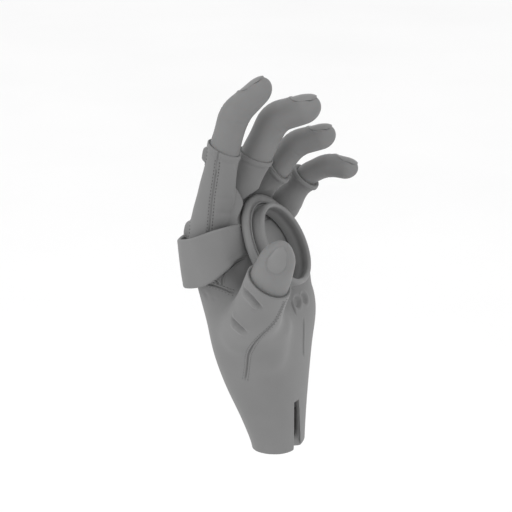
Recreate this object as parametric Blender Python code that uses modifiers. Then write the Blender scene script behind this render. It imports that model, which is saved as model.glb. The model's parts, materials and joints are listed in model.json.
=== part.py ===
"""Left prosthetic hand in a fingerless glove, with a strap and a round cup ring on the palm.

Metres. +Z runs up the wrist's axis, +X points out of the palm and -Y is the thumb's side.
The origin is the centre of the wrist stud's end face, in the plane of the cuff's lower edge.
"""

import math

import bmesh
import bpy
from mathutils import Matrix, Vector

MM = 0.001
GAP = 0.3 * MM                # between pieces that touch
RUNNING = 0.5 * MM            # between pieces that move past each other
ROUND_STEPS = 20              # sides on a small round piece
Y_AXIS = Vector((0, 1, 0))
Z_AXIS = Vector((0, 0, 1))

# Wrist
STUD_RADIUS = 6 * MM
STUD_LENGTH = 44 * MM
WRIST_FLANGE_RADIUS = 10 * MM
WRIST_FLANGE_THICKNESS = 4 * MM
HUB_RADIUS = 11 * MM
HUB_BOTTOM = 24 * MM
HUB_TOP = 40 * MM
CLIP_THICKNESS = 2 * MM

# Glove body: height, centre x, half depth, half width, sideways skew and slope of the section
GLOVE_WALL = 2.2 * MM
GLOVE_STATIONS = (
    (0, 0, 14, 21, 0.00, 0.0),
    (20, -3.5, 17.5, 26.5, 0.02, 0.0),
    (40, -7.5, 21.5, 32, 0.06, 0.0),
    (60, -10.5, 25, 35, 0.10, 0.1),
    (80, -11.5, 26.5, 37.5, 0.15, 0.3),
    (95, -15.4, 24.9, 39.8, 0.17, 0.6),
    (107, -21.8, 21.8, 41, 0.14, 0.9),
    (112.5, -24.3, 20.1, 41, 0.13, 1.0),
)
GLOVE_SQUARENESS = 2.4
KNUCKLE_LINE_FALL = 0.19      # the knuckle line falls this much per unit of width
SLIT_WIDTH = 6 * MM
SLIT_HEIGHT = 27 * MM
SLIT_ANGLE = math.radians(-31)
PALM_MIDDLE = 1.5             # the glove's middle lies this far towards the little finger
THUMB_ROOM = Vector((58, 50, 96)) * MM          # the opening the thumb grows out of
THUMB_ROOM_CENTRE = Vector((-1, -46, 106)) * MM

# Cup ring on the palm
RING_MOUTH = Vector((7.0, -6.5, 126.2)) * MM
RING_AXIS = Vector((0.88, -0.04, 0.47)).normalized()
RING_BORE_RADIUS = 21.8 * MM
RING_COLLAR_RADIUS = 25 * MM
RING_FLANGE_RADIUS = 32.5 * MM
RING_FLANGE_DEPTH = 6.6 * MM   # from the collar's mouth back to the flange's front edge
RING_BACK_DEPTH = 10.6 * MM
RING_FLANGE_CHORD = 18 * MM   # the flange ends in a straight edge this far down the palm
RING_ARM_WIDTH = 14 * MM
RING_ARM_THICKNESS = 3 * MM
RING_ARM_LENGTH = 36 * MM

# Strap round the palm
STRAP_THICKNESS = 2 * MM
STRAP_STEPS = 66
# Round the hand from the middle of the palm: x, y, z, inward lean of the top edge, half width
STRAP_STATIONS = (
    (-6.2, -6, 120.5, 28, 12.0),
    (-4.6, 10, 118.5, 28, 12.2),
    (-0.8, 28, 116.0, 24, 12.6),
    (-9.0, 46.3, 115.0, 12, 13.0),
    (-30.0, 44, 113.5, 2, 14.0),
    (-44.5, 16, 114.5, -5, 14.4),
    (-49.0, -13, 114.5, -7, 14.4),
    (-46.5, -34.5, 116.0, -6, 14.3),
    (-33.0, -44, 120.5, -2, 13.6),
    (-18.0, -43.5, 127.5, 4, 11.2),
    (-11.5, -33, 129, 20, 8.8),
    (-9.3, -20, 125.5, 27, 9.6),
)

# Fingers: knuckle joint, angles of the three phalanges from +Z towards the palm (degrees),
# their lengths, and the diameters of the bare finger and of its glove sleeve
FINGERS = {
    "index": ((-32.0, -28.0, 133.8), (10.0, 18.0, 48.0), (49, 22.5, 28), 17.6, 22.6),
    "middle": ((-33.7, -6.0, 132.1), (26.0, 26.0, 70.0), (46, 27.5, 26), 17.8, 20.6),
    "ring": ((-34.8, 16.4, 128.6), (38.0, 35.0, 71.0), (43, 20, 25), 15.9, 18.8),
    "little": ((-18.8, 34.5, 124.6), (37.0, 61.0, 96.0), (39, 15, 18), 13.9, 17.0),
}
# Where each sleeve starts above its knuckle, and how much higher its palm side starts
SLEEVE_START = {"index": (13, 2), "middle": (21, 12), "ring": (25, 17.5), "little": (16, 5)}
STUD_DEPTH = 5 * MM           # how deep a block's stud stands in the chassis and in the block
BLOCK_DEPTH = 12 * MM         # from a knuckle's pin to the foot of its block
SLEEVE_EASE = 0.6 * MM        # between a bare digit and its sleeve
HEM_DROP = 2 * MM             # the sleeves end this far short of the joint above
TIP_START = 4.8 * MM          # the soft tips start this far beyond their joint
BLOCK_RADIUS = 5.4 * MM
PIN_RADIUS = 1.5 * MM
BAR_WIDTH = 10 * MM
EAR_THICKNESS = 2.6 * MM
EYE_THICKNESS = 4.4 * MM
BLOCK_WIDTH = BAR_WIDTH + 2 * GAP + 2 * EAR_THICKNESS
KNUCKLE_EYE_RADIUS = 5 * MM
TIP_EYE_RADIUS = 4 * MM
FORK_SLOT = Vector((14 * MM, EYE_THICKNESS + 2 * GAP, 12 * MM))
CORE_RADIUS = 3.5 * MM
NAIL_THICKNESS = 0.8 * MM

# Thumb: its knuckle, the way its first bone runs, the way its pad faces, and its joints' bends
THUMB_KNUCKLE = Vector((-1.7, -40.2, 88.2)) * MM
THUMB_WAY = Vector((0.405, -0.36, 0.84)).normalized()
THUMB_PAD_WAY = Vector((-0.12, 0.89, 0.44))
THUMB_KNUCKLE_BEND = math.radians(12)
THUMB_TIP_BEND = math.radians(4)
THUMB_END_BEND = math.radians(6)   # how far the tip itself curves, beyond its bone
THUMB_END_BONE = 22 * MM
THUMB_BASE_LENGTH = 31 * MM
THUMB_NEAR_LENGTH = 31.5 * MM
THUMB_TIP_LENGTH = 31.5 * MM
THUMB_DIAMETER = 21 * MM
THUMB_SLEEVE_DIAMETER = 25.5 * MM
THUMB_SLEEVE_START = 11 * MM
POST_RADIUS = 2 * MM          # the upright bolt that holds the thumb's base arm
POST_LENGTH = 26 * MM
POST_START = -19 * MM
# The soft mound round the base arm: height up the arm, half depth, half width, shift to the palm
THENAR_STATIONS = ((6, 10, 11, -2), (12, 12, 14, -1.5), (19, 13, 15, -0.5), (25, 12, 14, 0))


def start_afresh():
    """Remove what the file holds, and return the collections for parts and for cutters."""
    for item in list(bpy.data.objects):
        bpy.data.objects.remove(item, do_unlink=True)
    parts = bpy.data.collections.new("prosthetic_hand")
    cutters = bpy.data.collections.new("cutters")
    for collection in (parts, cutters):
        bpy.context.scene.collection.children.link(collection)
    return parts, cutters


PARTS, CUTTERS = start_afresh()


def material(name, colour, roughness, metallic=0.0):
    made = bpy.data.materials.new(name)
    made.use_nodes = True
    shader = made.node_tree.nodes["Principled BSDF"]
    shader.inputs["Base Color"].default_value = (*colour, 1)
    shader.inputs["Roughness"].default_value = roughness
    shader.inputs["Metallic"].default_value = metallic
    return made


SKIN = material("silicone_skin", (0.24, 0.24, 0.24), 0.55)
NAIL = material("fingernail", (0.27, 0.27, 0.27), 0.35)
GLOVE = material("glove_fabric", (0.21, 0.21, 0.21), 0.85)
WEBBING = material("strap_webbing", (0.23, 0.23, 0.23), 0.8)
RING_PLASTIC = material("ring_plastic", (0.25, 0.25, 0.25), 0.45)
FRAME_METAL = material("frame_aluminium", (0.55, 0.56, 0.58), 0.35, 1.0)
PIN_STEEL = material("pin_steel", (0.5, 0.5, 0.5), 0.25, 1.0)
BUSH_PLASTIC = material("bush_plastic", (0.08, 0.08, 0.08), 0.5)


def bent(matrix, angle, distance=0.0):
    """The frame beyond a joint: distance up a frame's local Z, then bent towards its local X."""
    return matrix @ Matrix.Translation((0, 0, distance)) @ Matrix.Rotation(angle, 4, "Y")


def thumb_frames():
    """The frames of the thumb's base arm, of its bar and of its end; local X faces the pad."""
    pad = (THUMB_PAD_WAY - THUMB_PAD_WAY.dot(THUMB_WAY) * THUMB_WAY).normalized()
    hinge = THUMB_WAY.cross(pad)
    turn = Matrix((pad, hinge, THUMB_WAY)).transposed().to_4x4()
    near = Matrix.Translation(THUMB_KNUCKLE) @ turn
    base = bent(near, -THUMB_KNUCKLE_BEND) @ Matrix.Translation((0, 0, -THUMB_BASE_LENGTH))
    return base, near, bent(near, THUMB_TIP_BEND, THUMB_NEAR_LENGTH)


def new_object(name, mesh, look, matrix=None, collection=PARTS):
    made = bpy.data.objects.new(name, mesh)
    if look:
        mesh.materials.append(look)
    collection.objects.link(made)
    if matrix is not None:
        made.matrix_world = matrix
    return made


def hide_as_cutter(cutter):
    cutter.hide_render = True
    cutter.display_type = "WIRE"
    return cutter


def smooth(made, angle=40):
    made.data.shade_smooth()
    made.data.set_sharp_from_angle(angle=math.radians(angle))
    return made


def mesh_from(bm, name):
    mesh = bpy.data.meshes.new(name)
    bmesh.ops.recalc_face_normals(bm, faces=bm.faces)
    bm.to_mesh(mesh)
    bm.free()
    return mesh


def rod_mesh(name, radius, length, start=0.0, steps=ROUND_STEPS):
    """A rod along local Z, from start to start + length."""
    bm = bmesh.new()
    middle = Matrix.Translation((0, 0, start + length / 2))
    bmesh.ops.create_cone(
        bm, cap_ends=True, segments=steps, radius1=radius, radius2=radius, depth=length, matrix=middle,
    )
    return mesh_from(bm, name)


def pin_mesh(name, radius, length, steps=12):
    """A rod along local Y, centred on the origin."""
    bm = bmesh.new()
    lie_down = Matrix.Rotation(math.radians(90), 4, "X")
    bmesh.ops.create_cone(
        bm, cap_ends=True, segments=steps, radius1=radius, radius2=radius,
        depth=length, matrix=lie_down,
    )
    return mesh_from(bm, name)


def box_mesh(name, size, centre):
    bm = bmesh.new()
    shape = Matrix.Translation(centre) @ Matrix.Diagonal((*size, 1))
    bmesh.ops.create_cube(bm, size=1, matrix=shape)
    return mesh_from(bm, name)


def loft_mesh(name, rings, capped=True):
    """Join rings of points, first to last, with flat ends if capped."""
    bm = bmesh.new()
    loops = [[bm.verts.new(point) for point in ring] for ring in rings]
    for lower, upper in zip(loops, loops[1:]):
        for i, vertex in enumerate(lower):
            j = (i + 1) % len(lower)
            bm.faces.new((vertex, lower[j], upper[j], upper[i]))
    if capped:
        bm.faces.new(reversed(loops[0]))
        bm.faces.new(loops[-1])
    return mesh_from(bm, name)


def stadium_mesh(name, length, low_radius, high_radius, width, low_end=None):
    """A link plate in local XZ: two round ends, or a square low end, extruded along local Y."""
    quarter = ROUND_STEPS // 2
    outline = []
    for i in range(quarter + 1):
        turn = math.pi * i / quarter
        outline.append((high_radius * math.cos(turn), length + high_radius * math.sin(turn)))
    if low_end is None:
        for i in range(quarter + 1):
            turn = math.pi + math.pi * i / quarter
            outline.append((low_radius * math.cos(turn), low_radius * math.sin(turn)))
    else:
        outline.append((-low_radius, -low_end))
        outline.append((low_radius, -low_end))
    bm = bmesh.new()
    face = bm.faces.new([bm.verts.new((x, -width / 2, z)) for x, z in outline])
    grown = bmesh.ops.extrude_face_region(bm, geom=[face])
    moved = [item for item in grown["geom"] if isinstance(item, bmesh.types.BMVert)]
    bmesh.ops.translate(bm, verts=moved, vec=(0, width, 0))
    return mesh_from(bm, name)


def cut(made, cutter_mesh, matrix=None, operation="DIFFERENCE"):
    """Take the cutter away from a piece, or join it on."""
    cutter = new_object(f"cut_{made.name}_{len(made.modifiers)}", cutter_mesh, None, None, CUTTERS)
    cutter.matrix_world = made.matrix_world if matrix is None else matrix
    hide_as_cutter(cutter)
    change = made.modifiers.new("cut", "BOOLEAN")
    change.operation = operation
    change.object = cutter
    return cutter


def outside_down(profile):
    """The closed profile in the order that runs down its outer side, as the Screw needs."""
    following = profile[1:] + profile[:1]
    area = sum(a[0] * b[1] - b[0] * a[1] for a, b in zip(profile, following))
    return profile if area < 0 else profile[::-1]


def turned(name, profile, look, matrix, steps=48):
    """A closed profile of (radius, height) points, turned about local Z."""
    profile = outside_down(profile)
    bm = bmesh.new()
    verts = [bm.verts.new((radius, 0, height)) for radius, height in profile]
    for i, vertex in enumerate(verts):
        bm.edges.new((vertex, verts[(i + 1) % len(verts)]))
    mesh = bpy.data.meshes.new(name)
    bm.to_mesh(mesh)
    bm.free()
    made = new_object(name, mesh, look, matrix)
    screw = made.modifiers.new("turn", "SCREW")
    screw.steps = steps
    screw.render_steps = steps
    screw.merge_threshold = 0.00001
    screw.use_merge_vertices = True
    return made


def arc_points(centre, radius, start, end, count):
    """Points on an arc, for a turned profile; angles in degrees."""
    points = []
    for i in range(count + 1):
        turn = math.radians(start + (end - start) * i / count)
        points.append((centre[0] + radius * math.cos(turn), centre[1] + radius * math.sin(turn)))
    return points


def eased(value):
    """0 below 0, 1 above 1, and a smooth rise between."""
    held = min(max(value, 0.0), 1.0)
    return held * held * (3 - 2 * held)


# ---------------------------------------------------------------- glove body

def glove_section(height):
    """Centre x, half depth, half width, skew and slope at a height in millimetres."""
    for low, high in zip(GLOVE_STATIONS, GLOVE_STATIONS[1:]):
        if height <= high[0]:
            share = (height - low[0]) / (high[0] - low[0])
            return [a + (b - a) * share for a, b in zip(low[1:], high[1:])]
    return list(GLOVE_STATIONS[-1][1:])


def glove_point(height, turn, proud=0.0):
    """A point on the glove body's outside; turn 0 faces +X and grows towards +Y."""
    centre, depth, width, skew, slope = glove_section(height)
    power = 2 / GLOVE_SQUARENESS
    cos, sin = math.cos(turn), math.sin(turn)
    x = math.copysign(abs(cos) ** power, cos) * (depth + proud / MM)
    y = math.copysign(abs(sin) ** power, sin) * (width + proud / MM)
    fall = -slope * KNUCKLE_LINE_FALL * y
    drift = PALM_MIDDLE * eased(height / 80)
    return Vector((centre + x + skew * y, y + drift, height + fall)) * MM


def ring_matrix(depth=0.0):
    """A frame on the ring's axis: local Z points out of the palm and local X down the palm."""
    z_way = RING_AXIS
    x_way = Y_AXIS.cross(z_way).normalized()
    y_way = z_way.cross(x_way)
    turn = Matrix((x_way, y_way, z_way)).transposed().to_4x4()
    return Matrix.Translation(RING_MOUTH - RING_AXIS * depth) @ turn


def ring_arm_mesh(proud=0.0):
    """The flat arm from the collar's back down to the chassis, in the ring's frame."""
    width, thickness = RING_ARM_WIDTH + 2 * proud, RING_ARM_THICKNESS + 2 * proud
    start, end = -GAP, -GAP - RING_ARM_LENGTH
    across = RING_BORE_RADIUS - 0.6 * MM + RING_ARM_THICKNESS / 2
    return box_mesh("arm", (thickness, width, start - end), (across, 0, (start + end) / 2))


def build_glove_body():
    turns = [2 * math.pi * i / 40 for i in range(40)]
    rings = [[glove_point(station[0], turn) for turn in turns] for station in GLOVE_STATIONS]
    body = new_object("glove_body", loft_mesh("glove_body", rings, capped=False), GLOVE)
    wall = body.modifiers.new("wall", "SOLIDIFY")
    wall.thickness = GLOVE_WALL
    wall.offset = -1
    wall.use_even_offset = True
    slit_size = (30 * MM, SLIT_WIDTH, SLIT_HEIGHT + MM)
    slit = box_mesh("slit", slit_size, (slit_size[0] / 2 + MM, 0, SLIT_HEIGHT / 2 - MM))
    cut(body, slit, Matrix.Rotation(SLIT_ANGLE, 4, "Z"))
    cut(body, box_mesh("thumb_room", THUMB_ROOM, THUMB_ROOM_CENTRE), Matrix())
    cut(body, ring_arm_mesh(RUNNING), ring_matrix(RING_BACK_DEPTH))
    return smooth(body)


# ---------------------------------------------------------------- wrist

def washer_profile(bottom, top, outer_radius):
    """The section of a washer that stands round the wrist stud."""
    inner = STUD_RADIUS + GAP
    return [(inner, bottom), (outer_radius, bottom), (outer_radius, top), (inner, top)]


def build_wrist():
    flange = washer_profile(0, WRIST_FLANGE_THICKNESS, WRIST_FLANGE_RADIUS)
    smooth(turned("wrist_flange", flange, FRAME_METAL, Matrix(), 32))
    stud_mesh = rod_mesh("wrist_stud", STUD_RADIUS, STUD_LENGTH, steps=32)
    smooth(new_object("wrist_stud", stud_mesh, PIN_STEEL))
    bush_bottom = WRIST_FLANGE_THICKNESS + GAP
    bush = washer_profile(bush_bottom, HUB_BOTTOM - RUNNING, WRIST_FLANGE_RADIUS - MM)
    smooth(turned("wrist_bush", bush, BUSH_PLASTIC, Matrix(), 32))
    clip_bottom = HUB_TOP + RUNNING
    clip = washer_profile(clip_bottom, clip_bottom + CLIP_THICKNESS, STUD_RADIUS + 3 * MM)
    smooth(turned("wrist_retaining_clip", clip, PIN_STEEL, Matrix(), 32))


# ---------------------------------------------------------------- palm chassis

def chassis_centre(share_across, share_up):
    """The middle surface of the chassis plate, from the hub's top to below the knuckles."""
    bottom = Vector((-12, 0, HUB_TOP / MM + 8))
    bottom.y = -8 + 16 * share_across
    names = list(FINGERS)
    place = share_across * (len(names) - 1)
    left = min(int(place), len(names) - 2)
    low, high = (Vector(FINGERS[name][0]) for name in names[left:left + 2])
    knuckle = low.lerp(high, place - left)
    knuckle.y += (share_across - 0.5) * 4
    top = knuckle + Vector((1.0, 0, -16))
    point = bottom.lerp(top, share_up)
    point.y = bottom.y + (top.y - bottom.y) * eased((share_up - 0.3) / 0.6)
    return point * MM


def build_chassis():
    across, up = 12, 8
    rows = []
    for j in range(up + 1):
        rows.append([chassis_centre(i / across, j / up) for i in range(across + 1)])
    bm = bmesh.new()
    grid = [[bm.verts.new(point) for point in row] for row in rows]
    for low, high in zip(grid, grid[1:]):
        for i in range(across):
            bm.faces.new((low[i], low[i + 1], high[i + 1], high[i]))
    plate = new_object("palm_chassis", mesh_from(bm, "palm_chassis"), FRAME_METAL)
    thick = plate.modifiers.new("thick", "SOLIDIFY")
    thick.thickness = 4 * MM
    thick.offset = 0
    hub = rod_mesh("hub", HUB_RADIUS, HUB_TOP - HUB_BOTTOM, HUB_BOTTOM, 32)
    cut(plate, hub, Matrix(), "UNION")
    neck = box_mesh("neck", (7 * MM, 18 * MM, 26 * MM), (-10.5 * MM, 0, HUB_TOP - 2 * MM))
    cut(plate, neck, Matrix(), "UNION")
    for shape in FINGERS.values():
        foot = Matrix.Translation(Vector(shape[0]) * MM - Vector((0, 0, BLOCK_DEPTH + GAP)))
        cut(plate, box_mesh("pad", (7 * MM, 9.6 * MM, 8 * MM), (0.5 * MM, 0, -4 * MM)), foot, "UNION")
        stud_hole = rod_mesh("hole", PIN_RADIUS + GAP, STUD_DEPTH + 4 * MM, -STUD_DEPTH - GAP)
        cut(plate, stud_hole, foot)
    cut(plate, ring_arm_mesh(GAP), ring_matrix(RING_BACK_DEPTH))
    thumb_base = Matrix.Translation(thumb_frames()[0].translation)
    bracket = box_mesh("bracket", (11 * MM, 22 * MM, 8 * MM), (0, 6 * MM, -9.6 * MM))
    cut(plate, bracket, thumb_base, "UNION")
    wrist_hole = rod_mesh("wrist_hole", STUD_RADIUS + RUNNING, STUD_LENGTH, 6 * MM, 32)
    cut(plate, wrist_hole, Matrix())
    clip_room = rod_mesh("clip_room", STUD_RADIUS + 4 * MM, 8 * MM, HUB_TOP + 0.01 * MM, 32)
    cut(plate, clip_room, Matrix())
    bolt_hole = rod_mesh("bolt_hole", POST_RADIUS + GAP, 30 * MM, -25 * MM)
    cut(plate, bolt_hole, thumb_base)
    return smooth(plate)


# ---------------------------------------------------------------- cup ring and strap

def build_ring():
    inner = RING_BORE_RADIUS
    rim = (RING_COLLAR_RADIUS - inner) / 2
    collar_profile = [(inner, -RING_BACK_DEPTH)]
    collar_profile += [(RING_COLLAR_RADIUS - 0.8 * MM, -RING_BACK_DEPTH)]
    collar_profile += arc_points((inner + rim, -rim), rim, 0, 180, 6)
    collar = turned("ring_collar", collar_profile, RING_PLASTIC, ring_matrix())
    smooth(collar, 50)
    inside = RING_COLLAR_RADIUS + GAP
    outside = RING_FLANGE_RADIUS
    roll = 2.2 * MM
    back = RING_FLANGE_DEPTH - RING_BACK_DEPTH
    flange_profile = [(inside, back), (inside, -1.6 * MM), (inside + 2.5 * MM, -1.6 * MM)]
    flange_profile += [(outside - 2 * roll, -0.6 * MM)]
    flange_profile += arc_points((outside - roll, -roll + 0.4 * MM), roll, 100, -80, 7)
    flange_profile += [(outside - 2 * roll, back)]
    flange = turned("ring_flange", flange_profile, RING_PLASTIC, ring_matrix(RING_FLANGE_DEPTH))
    smooth(flange, 50)
    arm = new_object("ring_arm", ring_arm_mesh(), FRAME_METAL, ring_matrix(RING_BACK_DEPTH))
    smooth(arm)
    chord = box_mesh("chord", (20 * MM, 90 * MM, 30 * MM), (RING_FLANGE_CHORD + 10 * MM, 0, 0))
    cut(flange, chord)


def strap_station(place):
    """A smooth way through the strap's stations; place counts stations and closes on itself."""
    count = len(STRAP_STATIONS)
    whole = math.floor(place)
    part = place - whole
    before, start, end, after = (STRAP_STATIONS[(whole + i) % count] for i in (-1, 0, 1, 2))
    values = []
    for a, b, c, d in zip(before, start, end, after):
        square = 2 * a - 5 * b + 4 * c - d
        cube = 3 * (b - c) + d - a
        values.append(b + 0.5 * part * (c - a + part * (square + part * cube)))
    return Vector(values[:3]) * MM, math.radians(values[3]), values[4] * MM


def strap_section(place):
    """The four corners of the band at a place along it."""
    point, lean, half_width = strap_station(place)
    ahead = (strap_station(place + 0.05)[0] - strap_station(place - 0.05)[0]).normalized()
    outward = ahead.cross(Z_AXIS).normalized()
    upright = Z_AXIS * math.cos(lean) - outward * math.sin(lean)
    side = (upright - upright.dot(ahead) * ahead).normalized() * half_width
    half = ahead.cross(side).normalized() * STRAP_THICKNESS / 2
    return [point - side - half, point - side + half, point + side + half, point + side - half]


def build_strap():
    places = [len(STRAP_STATIONS) * i / STRAP_STEPS for i in range(STRAP_STEPS)]
    bm = bmesh.new()
    loops = [[bm.verts.new(corner) for corner in strap_section(place)] for place in places]
    for i, loop in enumerate(loops):
        following = loops[(i + 1) % len(loops)]
        for j in range(4):
            k = (j + 1) % 4
            bm.faces.new((loop[j], loop[k], following[k], following[j]))
    return smooth(new_object("palm_strap", mesh_from(bm, "palm_strap"), WEBBING), 60)


# ---------------------------------------------------------------- digits

PATH_STEPS = 44               # short straight steps a bent centre line is made of
BEND_SPAN = 16 * MM           # length of digit over which its last bend is spread


def bend_path(length, bend, bend_at, start=0.0):
    """Points and ways of a centre line in local XZ that leaves along +Z and bends towards +X."""
    x, z = 0.0, start
    path = []
    step = (length - start) / PATH_STEPS
    for i in range(PATH_STEPS + 1):
        travelled = start + step * i
        angle = bend * eased((travelled - bend_at) / BEND_SPAN + 0.5)
        path.append((Vector((x, 0, z)), angle))
        x += math.sin(angle) * step
        z += math.cos(angle) * step
    return path


def on_section(centre, angle, away, side):
    """A point of a bent digit's cross section: away towards the pad, and to the side."""
    return centre + Vector((away * math.cos(angle), side, -away * math.sin(angle)))


def digit_ring(centre, angle, half_x, half_y, sides=18):
    """A ring across a bent digit: half_x towards the pad, half_y to the side."""
    turns = [2 * math.pi * i / sides for i in range(sides)]
    return [on_section(centre, angle, half_x * math.cos(turn), half_y * math.sin(turn)) for turn in turns]


def tip_share(left, radius):
    """How much of its radius a digit keeps at a distance left to its rounded end."""
    reach = 1.15 * radius
    if left >= reach:
        return 1.0
    return math.sqrt(max(0.0, 1 - (1 - left / reach) ** 2))


def build_tip(name, matrix, length, bend, bend_at, diameter):
    """The bare soft end of a digit, from beyond its joint to its round end, with a blind core hole."""
    radius = diameter / 2
    reach = length - TIP_START
    rings_up = 11
    path = bend_path(length, bend, bend_at, TIP_START)
    rings = []
    for i in range(rings_up + 1):
        index = round(PATH_STEPS * (1 - (1 - i / rings_up) ** 1.4))
        centre, angle = path[index]
        travelled = reach * index / PATH_STEPS
        rounding = max(tip_share(reach - travelled, radius), 0.2)
        base_taper = 0.82 + 0.18 * eased(travelled / (3 * MM))
        end_taper = 1 - 0.1 * eased(index / PATH_STEPS)
        size = radius * rounding * base_taper * end_taper
        rings.append(digit_ring(centre, angle, size, size * 1.02))
    tip = new_object(f"{name}_fingertip", loft_mesh("tip", rings), SKIN, matrix)
    hole = rod_mesh("core_hole", CORE_RADIUS + 0.7 * MM, bend_at - 3 * MM, steps=16)
    cut(tip, hole)
    return smooth(tip)


def build_nail(name, matrix, length, bend, bend_at, diameter):
    """A thin curved plate just above the tip's back."""
    radius = diameter / 2
    path = bend_path(length, bend, bend_at)
    rings = []
    for share in (0.68, 0.76, 0.84, 0.92):
        centre, angle = path[round(share * PATH_STEPS)]
        left = length * (1 - share)
        keep = tip_share(left, radius)
        high = radius * keep * 0.92 + 0.5 * MM
        outer, inner = [], []
        for degrees in range(132, 229, 16):
            turn = math.radians(degrees)
            for points, reach in ((outer, high + NAIL_THICKNESS), (inner, high)):
                points.append(on_section(centre, angle, reach * math.cos(turn), reach * math.sin(turn)))
        rings.append(outer + inner[::-1])
    return smooth(new_object(f"{name}_nail", loft_mesh("nail", rings), NAIL, matrix))


def build_core(name, matrix, reach):
    """The stiff core in a digit's end: an eye on the joint and a rod up into the soft tip."""
    plate = stadium_mesh("core", 8 * MM, TIP_EYE_RADIUS, 2.4 * MM, EYE_THICKNESS)
    core = new_object(f"{name}_core", plate, FRAME_METAL, matrix)
    rod = rod_mesh("core_rod", CORE_RADIUS - 0.5 * MM, reach - 6 * MM, 6 * MM, 12)
    cut(core, rod, operation="UNION")
    cut(core, pin_mesh("eye", PIN_RADIUS + GAP, 20 * MM))
    return smooth(core)


def build_bar(name, matrix, length):
    """A phalanx bar: an eye at its knuckle and a fork at its far joint."""
    plate = stadium_mesh("bar", length, KNUCKLE_EYE_RADIUS, TIP_EYE_RADIUS, BAR_WIDTH)
    bar = new_object(f"{name}_bar", plate, FRAME_METAL, matrix)
    cut(bar, box_mesh("fork_slot", FORK_SLOT, (0, 0, length)))
    for height in (0, length):
        cut(bar, pin_mesh("eye", PIN_RADIUS + GAP, 30 * MM), matrix @ Matrix.Translation((0, 0, height)))
    return smooth(bar)


def build_sleeve(name, matrix, low, high, slant, diameter, bore):
    """The glove's sleeve round a phalanx, an open tube whose palm side starts higher by slant."""
    radius = diameter / 2
    rings = []
    for share in (0, 0.25, 0.5, 0.75, 1):
        swell = 1 - 0.05 * math.sin(math.pi * share)
        centre = Vector((0, 0, low + (high - low) * share))
        ring = digit_ring(centre, 0, radius * swell, radius * swell, 24)
        for point in ring:
            point.z += slant / 2 * (1 - share) * point.x / radius
        rings.append(ring)
    sleeve = new_object(f"{name}_sleeve", loft_mesh("sleeve", rings), GLOVE, matrix)
    cut(sleeve, rod_mesh("bore", bore, 2 * high, -high / 2, 24))
    return smooth(sleeve)


def build_knuckle_block(name, matrix):
    """A clevis whose ears stand either side of a bar's eye, on a stud."""
    plate = stadium_mesh("block", 0, BLOCK_RADIUS, BLOCK_RADIUS, BLOCK_WIDTH, BLOCK_DEPTH)
    block = new_object(f"{name}_knuckle_block", plate, FRAME_METAL, matrix)
    cut(block, box_mesh("block_slot", (20 * MM, BAR_WIDTH + 2 * GAP, 14 * MM), (0, 0, 1 * MM)))
    cut(block, pin_mesh("eye", PIN_RADIUS + GAP, 30 * MM))
    cut(block, rod_mesh("stud_hole", PIN_RADIUS + GAP, 20 * MM, -26 * MM))
    stud = rod_mesh("stud", PIN_RADIUS, 2 * STUD_DEPTH, -BLOCK_DEPTH - STUD_DEPTH)
    smooth(new_object(f"{name}_block_stud", stud, PIN_STEEL, matrix))
    return smooth(block)


def build_pin(name, matrix, length):
    return smooth(new_object(name, pin_mesh(name, PIN_RADIUS, length), PIN_STEEL, matrix))


def tilt(point, degrees):
    """A frame at a joint whose local Z leans from +Z towards the palm."""
    return Matrix.Translation(point) @ Matrix.Rotation(math.radians(degrees), 4, "Y")


def build_finger(name, knuckle, angles, lengths, tip_diameter, sleeve_diameter):
    knuckle = Vector(knuckle) * MM
    lengths = [length * MM for length in lengths]
    near = tilt(knuckle, angles[0])
    middle_joint = near @ Vector((0, 0, lengths[0]))
    far = tilt(middle_joint, angles[1])
    build_knuckle_block(name, Matrix.Translation(knuckle))
    build_pin(f"{name}_knuckle_pin", Matrix.Translation(knuckle), BLOCK_WIDTH)
    build_bar(name, near, lengths[0])
    bore = tip_diameter / 2 * MM + SLEEVE_EASE
    start, slant = (value * MM for value in SLEEVE_START[name])
    build_sleeve(name, near, start, lengths[0] - HEM_DROP, slant, sleeve_diameter * MM, bore)
    build_pin(f"{name}_joint_pin", tilt(middle_joint, angles[0]), BAR_WIDTH)
    bend = math.radians(angles[2] - angles[1])
    reach = lengths[1] + lengths[2]
    build_core(name, far, lengths[1] - 4 * MM)
    build_tip(name, far, reach, bend, lengths[1], tip_diameter * MM)
    build_nail(name, far, reach, bend, lengths[1], tip_diameter * MM)


# ---------------------------------------------------------------- thumb

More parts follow.
